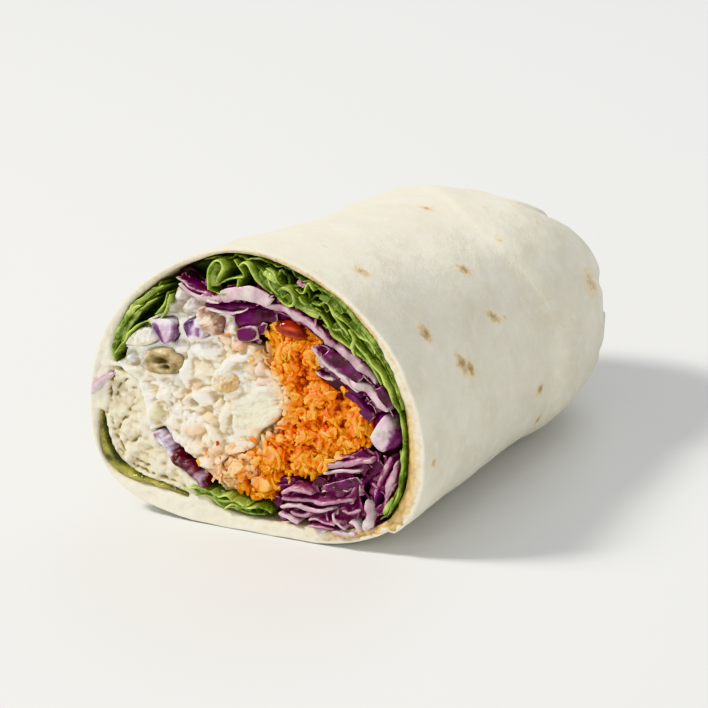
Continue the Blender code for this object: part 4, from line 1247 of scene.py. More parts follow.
def salad_colour(lumps, flat, depth, triangles):
    """Colour of the salad on the cut: its lumps, stains from its neighbours, flecks, and painted shade and
    highlight.
    """
    _, colour = heap(flat, lumps, "white", 0.7, DRESSING)
    smooth = slice_share(flat)
    colour = blend(colour, TINTS["slice"], smooth)
    colour = blend(colour, (0.62, 0.62, 0.50), smooth * soft_step(27.5, 30.5, flat[:, 1]) * 0.6)
    stain = fade(line_distance(flat, CARROT_LEFT), 2.2) * (0.55 + 0.9 * noise(flat, 1.6, 19))
    low = spot_at(flat, -7, 14, 7.5, 5.0)
    peach = np.clip(stain + low * (0.5 + 0.9 * noise(flat, 2.0, 20)), 0, 0.9)
    colour = blend(colour, TINTS["peach"], peach * (1 - 0.7 * smooth))
    orange = (stain - 0.55) * 1.2 + low * (noise(flat, 1.3, 28) - 0.2) * 1.5
    colour = blend(colour, (0.86, 0.40, 0.12), orange)
    mauve = fade(line_distance(flat, CABBAGE_UNDER), 2.0) * (0.4 + 0.8 * noise(flat, 1.8, 23))
    colour = blend(colour, (0.50, 0.38, 0.44), mauve)
    corner = soft_step(-9, -17, flat[:, 0]) * soft_step(44.5, 49, flat[:, 1])
    colour = blend(colour, (0.42, 0.38, 0.34), corner * (0.55 + 0.6 * noise(flat, 1.5, 25)))
    fleck = patches(flat, 1.1, 27, 0.50, 0.62) * patches(flat, 6.0, 26, 0.2, 0.5)
    colour = blend(colour, (0.30, 0.16, 0.22), 0.6 * fleck * (1 - smooth))
    # painted shade where the surface lies sunk, painted highlight where it stands out
    near, far = (depth - blurred(depth, triangles, rounds) for rounds in (8, 70))
    return shade_and_highlight(colour, 0.8 * near + 0.6 * np.minimum(far, 0.7))


def salad():
    """Lumps of chicken in dressing. Gives the depth of its front near places on the cut."""
    tints = ("cream", "cream", "white", "white", "beige", "cream", "slice", "peach")
    lumps = SALAD_LUMPS + spread_lumps(np.random.default_rng(5), SALAD_SPACE, SALAD_SIZES, tints)
    points, faces, count = body(SALAD_SPACE, SALAD_STEP, lambda flat, edge: salad_front(lumps, flat, edge),
                                FILL_DEPTH, 6)
    points[:count, 0] -= 0.8 * at_side(points[:count, :2])
    flat, depth = points[:count, :2], points[:count, 2]
    rest = np.tile(np.multiply(TINTS["beige"], 0.7), (len(points) - count, 1))
    build_piece("chicken_salad_mix", "salad", "chicken_salad", points, faces,
                tint=np.concatenate([salad_colour(lumps, flat, depth, faces[0]), rest]))
    return lambda spots: depth[[np.argmin(((flat - spot) ** 2).sum(1)) for spot in spots]]


# ---------------- pieces in the salad

CHUNK_STEP = 0.24
KEY_STEP = 0.4              # how far points on a closed curve through a few keys are apart
# Outline, how far it runs back and stands out, rounding of its edges, where the salad dips round it
CHUNKS = {
    "chicken_browned": (
        [(-12, 45.2), (-9.8, 42.6), (-7, 43), (-6.4, 46.2), (-8.2, 48.2), (-11.2, 48.2)],
        8, 0.3, 0.8, -0.6),
    "chicken_pale": (
        [(-8.9, 31.6), (-6.6, 30.2), (-4.2, 31.2), (-3.7, 34.2), (-6.6, 35.8), (-8.6, 34)],
        9, 0.1, 0.7, -1.3),
    "chicken_white": (
        [(-27.4, 37.6), (-24.6, 37.6), (-21.6, 38.7), (-20.8, 40.6), (-22.4, 42.2), (-25.2, 40.8)],
        7, 0.7, 1.2, 0.3),
    "gherkin": (
        [(-24.4, 33.4), (-20.5, 31.9), (-16.4, 32.8), (-15.2, 35.2), (-17.8, 37.7), (-22.4, 37.2)],
        10, 0.5, 1.2, -0.3),
    "onion_dice_left": (
        [(-21.2, 43.6), (-19.8, 40.4), (-18.4, 39.2), (-16.7, 41), (-16.5, 44.2), (-18.8, 44.6)],
        6, 0.9, 0.35, 0.3),
    "onion_dice_right": (
        [(-14.4, 43.8), (-13.6, 41.4), (-11.4, 41.2), (-10.2, 43), (-11.4, 45.6), (-13.4, 45.2)],
        6, 0.7, 0.5, 0.3)}
PEPPER_OUTLINE = [(4.6, 46.6), (6.4, 44.9), (9.4, 44.4), (11, 45.2), (9.8, 47.2), (6.8, 48.2)]


def toned(share, *colours):
    """Colours blended along a share from 0 to 1."""
    at = np.linspace(0, 1, len(colours))
    return np.stack([np.interp(share, at, [colour[k] for colour in colours]) for k in range(3)], 1)


def gherkin_hole(flat):
    return np.maximum(spot_at(flat, -19.8, 35.0, 1.5, 0.75), spot_at(flat, -18.8, 33.9, 1.2, 0.6))


def chunk_tone(name, flat, edge):
    """Colour of a piece on the cut, from where it is and how far from its outline."""
    s, z = flat.T
    rough = layered(flat, 1.6, 3, len(name))
    if name == "chicken_browned":
        share = 0.5 + 0.9 * rough + 0.16 * (-9.5 - s)
        return toned(share, (0.28, 0.15, 0.10), (0.56, 0.37, 0.26), (0.86, 0.72, 0.58))
    if name == "chicken_pale":
        # painted light: white highlight towards the upper left, tan shade towards the lower right
        across = 0.2 * (z - 33.4) - 0.26 * (s + 6.6)
        return toned(0.5 + 0.6 * rough + across, (0.62, 0.42, 0.19), (0.86, 0.72, 0.48), (0.93, 0.90, 0.82))
    if name == "chicken_white":
        share = 0.6 + 0.6 * rough + 0.15 * (z - 39.5)
        return toned(share, (0.60, 0.54, 0.40), (0.86, 0.82, 0.70), (0.92, 0.90, 0.83))
    if name == "gherkin":
        share = 0.45 + 0.7 * rough + 0.16 * (z - 35)
        colour = toned(share, (0.24, 0.16, 0.06), (0.43, 0.33, 0.16), (0.62, 0.52, 0.32))
        # a grey-olive painted highlight on its left side, and painted shade in its hollow
        colour = blend(colour, (0.40, 0.41, 0.36), soft_step(-22.2, -24.0, s))
        return blend(colour, (0.09, 0.055, 0.02), gherkin_hole(flat) * 1.15)
    if name == "onion_dice_left":
        face = soft_step(-19.3, -18.6, s + 0.25 * (z - 42)) + 0.15 * rough
        colour = toned(face, (0.10, 0.02, 0.12), (0.44, 0.27, 0.41), (0.60, 0.46, 0.57))
        right_rim = 0.8 * soft_step(0.45, 0.1, edge) * soft_step(-18.6, -17.4, s)
        colour = blend(colour, (0.20, 0.06, 0.20), right_rim)
        colour = blend(colour, (0.80, 0.74, 0.80), soft_step(43.2, 44.0, z + 0.4 * rough))
        return blend(colour, (0.62, 0.46, 0.62), soft_step(0.5, 0.1, edge) * soft_step(-19, -20, s))
    spots = soft_step(-0.15, 0.35, noise(flat, 1.3, 5) - 0.25 * (s + 12.4) + 0.15)
    return toned(spots, (0.76, 0.70, 0.74), (0.38, 0.22, 0.38), (0.09, 0.018, 0.11))


def chunk(name, keys, back, proud, rounding, slot, node, colour, bumps=0.3):
    """A piece that stands a little out of the cut, with rounded edges."""
    outline = curve(keys, KEY_STEP, closed=True)

    def front(flat, edge):
        away = unit(1 - edge / rounding)
        depth = -proud + rounding * (1 - np.sqrt(1 - away ** 2)) + bumps * layered(flat, 1.5, 3, len(name))
        if slot == "chicken":
            depth += 0.5 * fibres(flat, 44) + 0.35 * layered(flat, 2.6, 1, 46)
        if slot == "gherkin":
            depth += 1.5 * gherkin_hole(flat)
        return depth

    points, faces, count = body(outline, CHUNK_STEP, front, back, 3)
    tint = colour(points[:, :2], rim_distance(points[:, :2], outline))
    tint[count:] *= 0.75
    build_piece(name + "_piece", slot, node, points, faces, tint=tint)


def chunks():
    for name, (*form, _) in CHUNKS.items():
        chunk(name, *form, name.split("_")[0], name, lambda flat, edge: chunk_tone(name, flat, edge))

    def pepper_tone(flat, edge):
        # painted highlights in bright arcs and towards the left, darker to the right
        across = flat[:, 0] - 7.5
        arc = noise((flat[:, 0] * 0.25, flat[:, 1] + 0.05 * across ** 2), 0.8, 3)
        share = 0.35 + 0.9 * arc - 0.06 * across
        return toned(share, (0.16, 0.010, 0.006), (0.33, 0.028, 0.010), (0.62, 0.12, 0.03))

    chunk("red_pepper", PEPPER_OUTLINE, 8, 0.8, 1.5, "pepper", "pepper_piece", pepper_tone, 0.04)


# ---------------- scattered bits

def local_mesh(name, points, faces, **values):
    """A small mesh round its own middle: across in X, up in Z, thickness in Y."""
    pile = Pile()
    pile.add(points[:, [0, 2, 1]] * MM, faces, placed=True, **values)
    return pile.mesh(name)


def flake(rng, sizes, bend, rim, step, rough, taper=0.0):
    """A curled scrap in its own plane: points, faces and side.

    sizes are the ranges of its length, width and thickness.
    """
    length, width, thickness = (rng.uniform(*size) for size in sizes)
    bend = rng.uniform(-bend, bend)
    u, full_u = stations(length, thickness / 2, step, rim)
    v, full_v = stations(width, thickness / 2, step, rim)
    uu, vv = crossed(u - length / 2, v - width / 2)
    seed = int(rng.integers(1000))
    narrow = 1 + 0.45 * noise((uu,), 1.1, seed)
    vv = vv * narrow * (1 - taper * np.abs(2 * uu / length) ** 2)
    turn = bend * uu / length
    x = uu * np.cos(turn) - vv * np.sin(turn)
    z = uu * np.sin(turn) + vv * np.cos(turn)
    y = rough * layered((uu, vv), 2.0, 2, seed + 1) + rng.uniform(-0.5, 0.5) * (vv / width * 2) ** 2
    y = y + rng.uniform(-0.9, 0.9) * (uu / length * 2) ** 2
    thick = thickness / 2 * (1 + 0.6 * noise((uu, vv), 0.9, seed + 2)).reshape(len(u), len(v))
    return pillow(np.stack([x, z, y], 1), thick * np.outer(full_u, full_v))


def scatter_tree():
    """Geometry Nodes that lay loose bits over a bed, each turned and sized by chance."""
    tree = bpy.data.node_groups.new("scatter bits", "GeometryNodeTree")
    sockets = {}
    for label, kind in (("Bed", "Geometry"), ("Bits", "Collection"), ("Spacing", "Float"),
                        ("Smallest", "Float"), ("Largest", "Float"), ("Tilt", "Float"),
                        ("Seed", "Int"), ("Finish", "Material")):
        sockets[label] = add_socket(tree, label, kind).identifier
    add_socket(tree, "Bits laid", "Geometry", "OUTPUT")
    start = tree.nodes.new("NodeGroupInput").outputs
    end = tree.nodes.new("NodeGroupOutput")

    def shifted(step):
        return math_node(tree, "ADD", start["Seed"], float(step))

    def chance(low, high, seed):
        return add_node(tree, "FunctionNodeRandomValue", {2: low, 3: high, 8: shifted(seed)},
                        data_type="FLOAT").outputs[1]

    spread = add_node(tree, "GeometryNodeDistributePointsOnFaces",
                      {"Mesh": start["Bed"], "Distance Min": start["Spacing"], "Density Max": 4.0e6,
                       "Seed": start["Seed"]}, distribute_method="POISSON")
    back = math_node(tree, "MULTIPLY", start["Tilt"], -1.0)
    turn = add_node(tree, "ShaderNodeCombineXYZ",
                    {0: chance(back, start["Tilt"], 1), 1: chance(0.0, 2 * math.pi, 2),
                     2: chance(back, start["Tilt"], 3)}).outputs[0]
    bits = add_node(tree, "GeometryNodeCollectionInfo",
                    {"Collection": start["Bits"], "Separate Children": True, "Reset Children": True})
    pick = add_node(tree, "FunctionNodeRandomValue", {4: 0, 5: 99, 8: shifted(4)}, data_type="INT")
    laid = add_node(tree, "GeometryNodeInstanceOnPoints",
                    {"Points": spread.outputs["Points"], "Instance": bits.outputs[0],
                     "Pick Instance": True, "Instance Index": pick.outputs[2], "Rotation": turn,
                     "Scale": chance(start["Smallest"], start["Largest"], 5)})
    shade = add_node(tree, "GeometryNodeStoreNamedAttribute",
                     {"Geometry": laid.outputs[0], "Name": "shade", "Value": chance(0.0, 1.0, 6)},
                     data_type="FLOAT", domain="INSTANCE")
    real = add_node(tree, "GeometryNodeRealizeInstances", {0: shade.outputs[0]})
    done = add_node(tree, "GeometryNodeSetMaterial",
                    {"Geometry": real.outputs[0], "Material": start["Finish"]})
    tree.links.new(done.outputs[0], end.inputs[0])
    return tree, sockets


SCATTER, SCATTER_SOCKETS = scatter_tree()


def scatter(name, slot, outline, bed_step, depth, shapes, spacing, sizes, tilt, seed):
    """Bits laid over an outline on the cut, as one mesh not yet in the scene."""
    flat, triangles = fill(evened(outline, bed_step), [], bed_step, seed)
    bed_mesh = bpy.data.meshes.new("bed")
    bed_mesh.from_pydata(place(np.column_stack([flat, depth(flat)])).tolist(), [], triangles.tolist())
    bed = add_object("bed", bed_mesh)
    bits = bpy.data.collections.new("bits")
    for i, mesh in enumerate(shapes):
        bits.objects.link(bpy.data.objects.new(f"bit_{i:02d}", mesh))
    layer = bed.modifiers.new("scatter", "NODES")
    layer.node_group = SCATTER
    for label, value in (("Bits", bits), ("Spacing", spacing * MM), ("Smallest", sizes[0]),
                         ("Largest", sizes[1]), ("Tilt", tilt), ("Seed", seed),
                         ("Finish", MATERIALS[slot])):
        layer[SCATTER_SOCKETS[label]] = value
    evaluated = bed.evaluated_get(bpy.context.evaluated_depsgraph_get())
    mesh = bpy.data.meshes.new_from_object(evaluated)
    bed.modifiers.remove(layer)
    for thing in [bed, *bits.objects]:
        bpy.data.objects.remove(thing)
    bpy.data.collections.remove(bits)
    mesh.name = name
    mesh.shade_smooth()
    return mesh


def mesh_points(mesh):
    spots = np.zeros(len(mesh.vertices) * 3, np.float32)
    mesh.vertices.foreach_get("co", spots)
    return unplace(spots.reshape(-1, 3).astype(float))


# ---------------- carrot

# Clumps seen on the cut: middle, half length and width, turn in degrees, height
CARROT_CLUMPS = [
    (13.6, 33.6, 3.4, 2.8, 40, 2.5), (16.6, 29.4, 3.4, 2.6, 70, 2.3), (7.6, 42.4, 3, 2.4, 20, 2.2),
    (11.8, 41.6, 3, 2, 80, 2.2), (21.2, 27.6, 3.4, 1.5, 84, 2.2), (19.4, 23.8, 3.2, 1.6, 10, 2),
    (15, 24.6, 2.6, 1.8, 30, 1.9), (5.2, 21.6, 3, 2, 10, 2.1), (3, 16.2, 2.8, 2.2, 60, 2),
    (9.2, 18.2, 2.8, 2, 20, 2), (-3.6, 13.2, 2.6, 2, 0, 1.9), (0.6, 10.4, 2.6, 1.8, 30, 1.9),
    (6.4, 28.4, 2.4, 1.8, 80, 1.7), (10.2, 23.4, 2.4, 2, 0, 2), (4.4, 37.2, 2.6, 1.6, 70, 1.8),
    (11.2, 28, 2.2, 1.6, 50, 1.5), (7.2, 33, 3, 1.4, 86, 1.9)]
CARROT_SIZES = ((1.7, 90, 1.5), (1.0, 260, 1.25))
CARROT_STEP = 0.28
SHRED_BED_STEP = 0.5
# Shreds and crumbs: how many shapes, length, width, thickness
GRATED = [(9, (1.0, 2.2), (0.8, 1.5), (0.5, 0.9)), (8, (2.0, 3.8), (0.8, 1.5), (0.4, 0.7)),
          (4, (3.0, 4.6), (1.4, 2.3), (0.6, 0.9))]
# Hollows, sunk and painted a deep red as light shining through: middle, half width and height
CARROT_HOLLOWS = [
    (10, 36.4, 1.8, 2.6), (17.2, 31.2, 0.9, 3.2), (13, 26.6, 1.8, 1), (3.8, 23.4, 2.2, 1),
    (20.2, 26, 0.8, 1.6), (7.2, 25.2, 1.2, 1), (9.4, 40.2, 0.7, 1.8), (11, 20.8, 2.2, 0.8),
    (0.2, 14, 0.8, 1.8), (6.4, 17.2, 0.8, 2), (14.6, 36.2, 2.2, 1), (-2.2, 10.2, 0.9, 1.2)]

# Where shreds of carrot stray into the salad
STRAY_AREAS = [
    [(-9.8, 9.4), (-12.4, 13.5), (-10.4, 18.6), (-4.8, 21), (-1.2, 23), (-1.6, 19.2), (-6.8, 16.2),
     (-9.2, 12)],
    [(-8, 40.4), (-6.6, 43.2), (-4.2, 42.8), (-2.2, 41.2), (0, 40.6), (-0.8, 38.2), (-4.2, 38.8)]]


def creamed(points):
    """How far dressing has coated the carrot: near the salad and low on the left."""
    flat = points[:, :2]
    near = fade(line_distance(flat, CARROT_LEFT[::3]), 2.6)
    low = spot_at(flat, -4, 13, 5.0, 4.0)
    return unit(0.8 * near + 0.75 * low + 0.5 * noise(flat, 2.4, 31) * (near + low))


def grated(rng):
    """Shapes of grated carrot: crumbs, shreds and broader scraps, all rough."""
    shapes = []
    for count, *sizes in GRATED:
        for _ in range(count):
            points, faces, _ = flake(rng, sizes, 0.9, (0, 0.4), 0.5, 0.6, taper=0.45)
            seed = len(shapes)
            bumps = [noise(points[:, :2] + points[:, 2:] * 1.7, 0.55, seed + k) for k in (40, 60, 80)]
            shapes.append(local_mesh(f"shred_{seed}", points + 0.16 * np.stack(bumps, 1), faces))
    return shapes


def hollow(flat):
    """1 in the carrot's hollows, with uneven edges."""
    share = np.max([spot_at(flat, *spot) for spot in CARROT_HOLLOWS], axis=0)
    return unit(share + 0.35 * layered(flat, 1.8, 2, 22))


def carrot(salad_depth):
    """A heap of grated carrot: a rough core in clumps, with loose shreds on it and on the salad."""
    rng = np.random.default_rng(21)
    shapes = grated(rng)
    lumps = [(*clump, "orange") for clump in CARROT_CLUMPS]
    lumps += spread_lumps(rng, CARROT_SPACE, CARROT_SIZES, ("orange",))

    def heaped(flat):
        height, _ = heap(flat, lumps, "orange", 0.9)
        return 2.4 - 1.2 * height + 0.8 * noise(flat, 5.5, 5) + 1.6 * hollow(flat)

    def front(flat, edge):
        return heaped(flat) + 0.34 * layered(flat, 0.75, 3, 5) + 0.7 * unit(1 - edge / 1.0)

    points, faces, count = body(CARROT_SPACE, CARROT_STEP, front, FILL_DEPTH)
    flat, depth = points[:count, :2], points[:count, 2]
    # painted shade and highlight: darker red where the heap is sunk and in its hollows, brighter where it
    # stands out
    sunk = 0.9 * (depth - blurred(depth, faces[0], 10)) + 0.4 * (depth - blurred(depth, faces[0], 70))
    shade = unit(0.5 - sunk + 0.3 * layered(flat, 2.2, 2, 6) - 0.6 * hollow(flat))
    build_piece("carrot_core", "carrot", "carrot", points, faces,
                shade=np.r_[shade, np.full(len(points) - count, 0.1)], cream=creamed(points))

    bed = inset(evened(CARROT_SPACE, 1.0), 0.5)
    for name, lift, spacing, seed in (("carrot_shreds_low", 0.0, 1.15, 3), ("carrot_shreds", 0.35, 1.9, 8)):
        mesh = scatter(name, "carrot", bed, SHRED_BED_STEP, lambda flat: heaped(flat) - lift, shapes,
                       spacing, (0.5, 1.15), 1.0, seed)
        spots = mesh_points(mesh)
        own = np.zeros(len(spots), np.float32)
        mesh.attributes["shade"].data.foreach_get("value", own)
        # painted shade and highlight: brighter where a shred stands out of the heap, darker red in the
        # hollows
        above = np.clip(heaped(spots[:, :2]) - spots[:, 2], -1, 1)
        broad = 0.35 * noise(spots[:, :2], 4.0, 24) - 0.75 * hollow(spots[:, :2])
        mesh.attributes.remove(mesh.attributes["shade"])
        paint(mesh, "shade", unit(0.3 + 0.5 * own + 0.35 * above + broad))
        paint(mesh, "cream", creamed(spots))
        finish_piece(mesh, "carrot", "carrot")
    for number, area in enumerate(STRAY_AREAS):
        mesh = scatter(f"carrot_strays_{number + 1}", "carrot", curve(area, KEY_STEP, closed=True),
                       SHRED_BED_STEP, lambda flat: salad_depth(flat) + 0.25, shapes, 1.7, (0.5, 1.05),
                       0.6, 30 + number)
        spots = mesh_points(mesh)
        paint(mesh, "cream", np.clip(0.62 + 0.7 * noise(spots[:, :2], 1.6, 47), 0.1, 0.92))
        finish_piece(mesh, "carrot", "carrot")


# ---------------- red cabbage

# Strips seen on edge: middle line, thickness, front, how much skin shows, how mauve they are
TOP_STRIPS = [
    ([(-15.8, 54), (-13.4, 52.5), (-11, 51.6), (-8.2, 51.2)], 1.7, -0.3, 0.6, 0),
    ([(-15.2, 52.8), (-12.6, 51.2), (-9.6, 50.2), (-6.6, 49.9)], 0.8, -0.6, -0.25, 0.1),
    ([(-10.8, 50.5), (-7.6, 50.5), (-4.6, 51.3)], 1.9, -0.5, -0.05, 0.35),
    ([(1.2, 50.6), (2.8, 51.8), (4.6, 53.4)], 0.9, -0.5, 0.5, 0),
    ([(-10.6, 49), (-7, 48.9), (-3, 49.4), (0.6, 50.2)], 1.3, 0.5, 0.9, 0),
    ([(-9.8, 48.1), (-5.6, 47.6), (-2.2, 48.4), (-0.7, 49.7)], 0.5, -0.3, -0.6, 0),
    ([(2.6, 50.9), (6, 50.5), (10, 49.2), (13.6, 47), (17, 44.4)], 2.1, -0.2, -0.1, 0.3),
    ([(7, 48.9), (10.5, 47.6), (13.6, 45.9), (16.4, 43.4)], 1.5, 0.7, 0.9, 0),
    ([(16.4, 44.9), (20, 42.8), (23, 40.6), (26, 38)], 1.9, -0.1, -0.05, 0.45),
    ([(14.4, 41.9), (16.8, 39.2), (20, 37.5), (22.4, 35.6)], 0.7, -0.5, -0.5, 0),
    ([(18.6, 37.8), (22, 37.1), (25, 35.3), (28.6, 32.6)], 1.8, -0.5, -0.4, 0.05),
    ([(12.6, 43.6), (13.9, 41.5), (14.8, 39.4)], 1.2, -0.3, -0.15, 0.15),
    ([(13.4, 38.6), (15, 37.5), (17, 37.3)], 0.7, -0.3, -0.3, 0.1),
    ([(22.6, 38.6), (24.6, 37.6), (26.6, 35.8)], 1.2, 0.9, 0.9, 0),
    ([(20.2, 34.6), (22.6, 32.8), (24.6, 31.4)], 1.1, 0.6, 0.7, 0.1),
    ([(1.8, 49.2), (5, 49.5), (8, 49)], 0.9, 0.6, 0.7, 0)]
BASE_STRIPS = [
    ([(15.8, 19), (18.6, 20.4), (21.6, 21)], 1.2, 0.3, 0.6, 0.2),
    ([(15.4, 17.6), (18.6, 18.8), (22.4, 20.4), (25.2, 21)], 1.5, -0.3, 0, 0.55),
    ([(15, 16.2), (18.4, 17.2), (22.6, 18.4)], 1, -0.4, -0.15, 0.3),
    ([(14.6, 12.2), (17, 13.2), (20.2, 13.2)], 0.7, -0.5, -0.2, 0.2),
    ([(30.4, 21.8), (29, 17.8), (27.6, 13.4)], 1.3, -0.4, -0.15, 0.3),
    ([(28.6, 22.4), (27, 18.4), (25.2, 13.8)], 1.4, 0.3, 0.25, 0.5),
    ([(30, 17.6), (28.6, 13.8), (27, 10.2)], 1, 0.3, 0.3, 0.4),
    ([(25.6, 14.4), (25, 11), (24.2, 8.4)], 1, 0.4, 0.7, 0),
    ([(24.3, 12.2), (24.6, 9.2), (23.6, 5.4)], 2, -0.5, -0.3, 0.05),
    ([(4.2, 11.8), (6.2, 13), (8.6, 13.4)], 1.5, 0.3, 0.95, 0),
    ([(6, 10.6), (9, 11.9), (12.6, 11.5)], 1.5, -0.4, -0.05, 0.45),
    ([(6, 9), (11, 9.4), (16, 9.9), (21.2, 11.2)], 1.1, -0.2, 0.05, 0.6),
    ([(5.4, 7.2), (9, 7.7), (13.4, 7.9), (17, 8.9)], 1.2, -0.3, -0.2, 0.25),
    ([(11, 8.8), (15, 8.4), (18.4, 9.4)], 0.9, 0.8, 0.9, 0),
    ([(7.6, 6.4), (10, 5.8), (12, 6.8)], 1.4, -0.1, 0.1, 0.5),
    ([(11.6, 5.2), (14, 5.5), (17.4, 5.2)], 0.6, -0.5, 0.1, 0.45),
    ([(11.9, 4.3), (14.6, 4.6), (17, 4.3)], 0.6, -0.4, 0.2, 0.45),
    ([(16.8, 7.8), (17.8, 6), (19.8, 5.2)], 0.8, -0.3, -0.15, 0.15),
    ([(19, 8.8), (20.8, 8.2), (22.8, 9.6)], 1.1, -0.2, 0.1, 0.4),
    ([(20.6, 6.8), (22, 6.4), (22.9, 4.9)], 0.8, -0.6, -0.4, 0),
    ([(17, 3.9), (19, 3.8), (21.6, 4.4)], 0.9, -0.6, -0.5, 0),
    ([(5.2, 5.6), (7.2, 5.2), (9.6, 4.4)], 1.1, -0.3, -0.35, 0.1),
    ([(22.4, 14.8), (23.6, 16.8), (25.6, 18.6)], 1.4, 1.4, 0.95, 0)]
# Scraps that turn a face to the viewer: middle line, width, thickness, front, slope, curl, skin
TOP_SCRAPS = [
    ([(-6.2, 51.2), (-3.2, 52.5), (0.4, 52.9), (4.2, 51.5)], 3.2, 1, -0.3, 0.15, 0.3, 0.05),
    ([(-4.2, 46.6), (0.4, 47.9), (4.8, 49)], 3.4, 0.9, 1.1, 0.3, 0.2, 1),
    ([(-2.7, 43.7), (1.3, 44.9)], 3.2, 1.7, -0.3, 0.12, -0.1, 1),
    ([(1.8, 44.9), (2.6, 47)], 1.4, 0.9, 0.3, -0.3, 0, 0.85),
    ([(15.4, 42.7), (18.4, 41), (22.6, 38)], 2.5, 0.9, 0, 0.35, 0.2, 0.9),
    ([(26.2, 37), (28.8, 33.2)], 2.3, 0.9, 0.3, 0.2, 0.2, 0.95),
    ([(15.4, 36.6), (18.5, 35.4), (21.6, 33.2)], 2.6, 0.8, 1.3, 0.2, 0.3, 0.95),
    ([(22.4, 31.6), (24.6, 29.6)], 2.2, 0.9, 0.9, 0.3, 0.2, 0.9),
    ([(9.4, 57), (11, 56.2)], 1.2, 0.5, 0.3, 0.4, 0.3, 0.6)]
BASE_SCRAPS = [
    ([(15.2, 13.3), (18.6, 14.4), (22.6, 16.4)], 2.3, 0.9, -0.3, -0.3, 0.25, 0.86),
    ([(24, 17.8), (26.2, 20.4)], 2.4, 0.8, 1.2, 0.3, 0.2, 1.1),
    ([(12.6, 14.2), (14.8, 13.6)], 1.6, 0.8, 0.5, 0.3, 0.2, 0.9),
    ([(27, 9.8), (28.4, 12.4)], 1.8, 0.8, 0.8, 0.3, 0.2, 0.9),
    ([(13.2, 4), (15.6, 3.6)], 1.2, 0.7, -0.2, 0.4, 0.3, 0.1)]


def cabbage(name, space, strips, scraps, seed):
    """Shredded cabbage: traced strips and scraps, loose scraps behind them and a core painted near black as
    shade.
    """
    pile = Pile()
    for i, (keys, thickness, front, more, tone) in enumerate(strips):
        back = 9 + 6 * (0.5 + 0.5 * math.sin(i * 2.4))
        points, faces, side = edge_strip(
            keys, thickness, front, back, seed + 7 * i, wobble=0.4, ragged=0.9, step=0.4,
            taper=0.4 + 0.2 * math.sin(5 * i), lean=0.12 * math.sin(3 * i))
        streaks = 0.55 * layered((points[:, 0] + points[:, 1], 5 * side + i), 2.2, 2, i)
        pile.add(points, faces, skin=np.abs(side) + more + streaks, tone=tone)
    for i, (keys, width, thickness, front, slope, curl, skin) in enumerate(scraps):
        points, faces, side = face_plate(keys, width, thickness, front, slope, curl, seed + 60 + i)
        pile.add(points, faces, skin=np.abs(side) * skin + 0.05, tone=0.05)
    finish_piece(pile.mesh(name + "_strips"), "cabbage", name)

    rng = np.random.default_rng(seed)
    shapes = []
    for i in range(8):
        points, faces, side = flake(rng, ((2.0, 4.4), (1.2, 2.4), (0.5, 0.9)), 1.2, (0, 0.25, 0.6), 0.8, 0.4)
        skin = 0.35 + 0.5 * np.abs(side) + rng.uniform(-0.3, 0.4)
        shapes.append(local_mesh(f"scrap_{i}", points, faces, skin=skin, tone=rng.uniform(0, 0.7)))
    mesh = scatter(name + "_scraps", "cabbage", inset(evened(space, 1.0), 0.9), 1.0,
                   lambda flat: 2.0 + 0.8 * noise(flat, 4.0, seed), shapes, 1.7, (0.7, 1.1), 0.8, seed)
    finish_piece(mesh, "cabbage", name)

    # the core behind the strips is painted near black, as shade
    points, faces, _ = body(space, 0.6, lambda flat, edge: 3.8 + 0.9 * noise(flat, 2.0, seed), FILL_DEPTH)
    build_piece(name + "_core", "cabbage", name, points, faces, skin=1.2, tone=0.0, gap=1.0)


def rib_and_sliver():
    """The pale rib at the right and the sliver that lies over the tortilla's edge."""
    angles = np.linspace(0, 2 * np.pi, 40, endpoint=False)
    outline = np.stack([27.0 + 2.9 * np.cos(angles), 26.9 + 3.9 * np.sin(angles) - 0.35 * np.cos(angles)], 1)

    def from_middle(flat):
        return np.abs((flat[:, 0] - 27) * 0.88 - (flat[:, 1] - 26.6) * 0.47)

    def front(flat, edge):
        sunk = 1.8 * soft_step(1.7, 2.5, from_middle(flat))
        return -0.5 + sunk + 1.0 * unit(1 - edge / 1.2) ** 2 + 0.3 * layered(flat, 1.8, 3, 4)

    points, faces, _ = body(outline, 0.3, front, FILL_DEPTH)
    flat = points[:, :2]
    across = (flat[:, 0] - 27) * 0.8 - (flat[:, 1] - 26.9) * 0.25
    rim = 1.1 * soft_step(1.6, 2.2, from_middle(flat) + 0.3 * noise(flat, 1.5, 8))
    skin = 0.2 + 0.14 * across + 0.3 * noise(flat, 2.2, 6) + rim
    build_piece("cabbage_rib_piece", "cabbage_rib", "cabbage_rib", points, faces,
                skin=unit(skin), tone=np.clip(0.15 + 0.12 * across, 0, 0.7))

    keys = [(-34.6, 25.4), (-33.4, 27.8), (-31.6, 29.5), (-29.6, 30.9)]
    points, faces, _ = edge_strip(keys, 1.9, -1.0, 0.1, 77, wobble=0.15, ragged=0.2, step=0.4, taper=0.6)
    upper = (points[:, 1] - 28.4 - 1.1 * (points[:, 0] + 32.3)) / 1.2
    build_piece("cabbage_sliver_piece", "cabbage_rib", "cabbage_sliver", points, faces,
                skin=0.18 + 0.3 * upper + 0.06 * (points[:, 0] + 32),
                tone=np.clip(0.2 + 0.3 * upper + 0.06 * (points[:, 0] + 33), 0, 0.6))


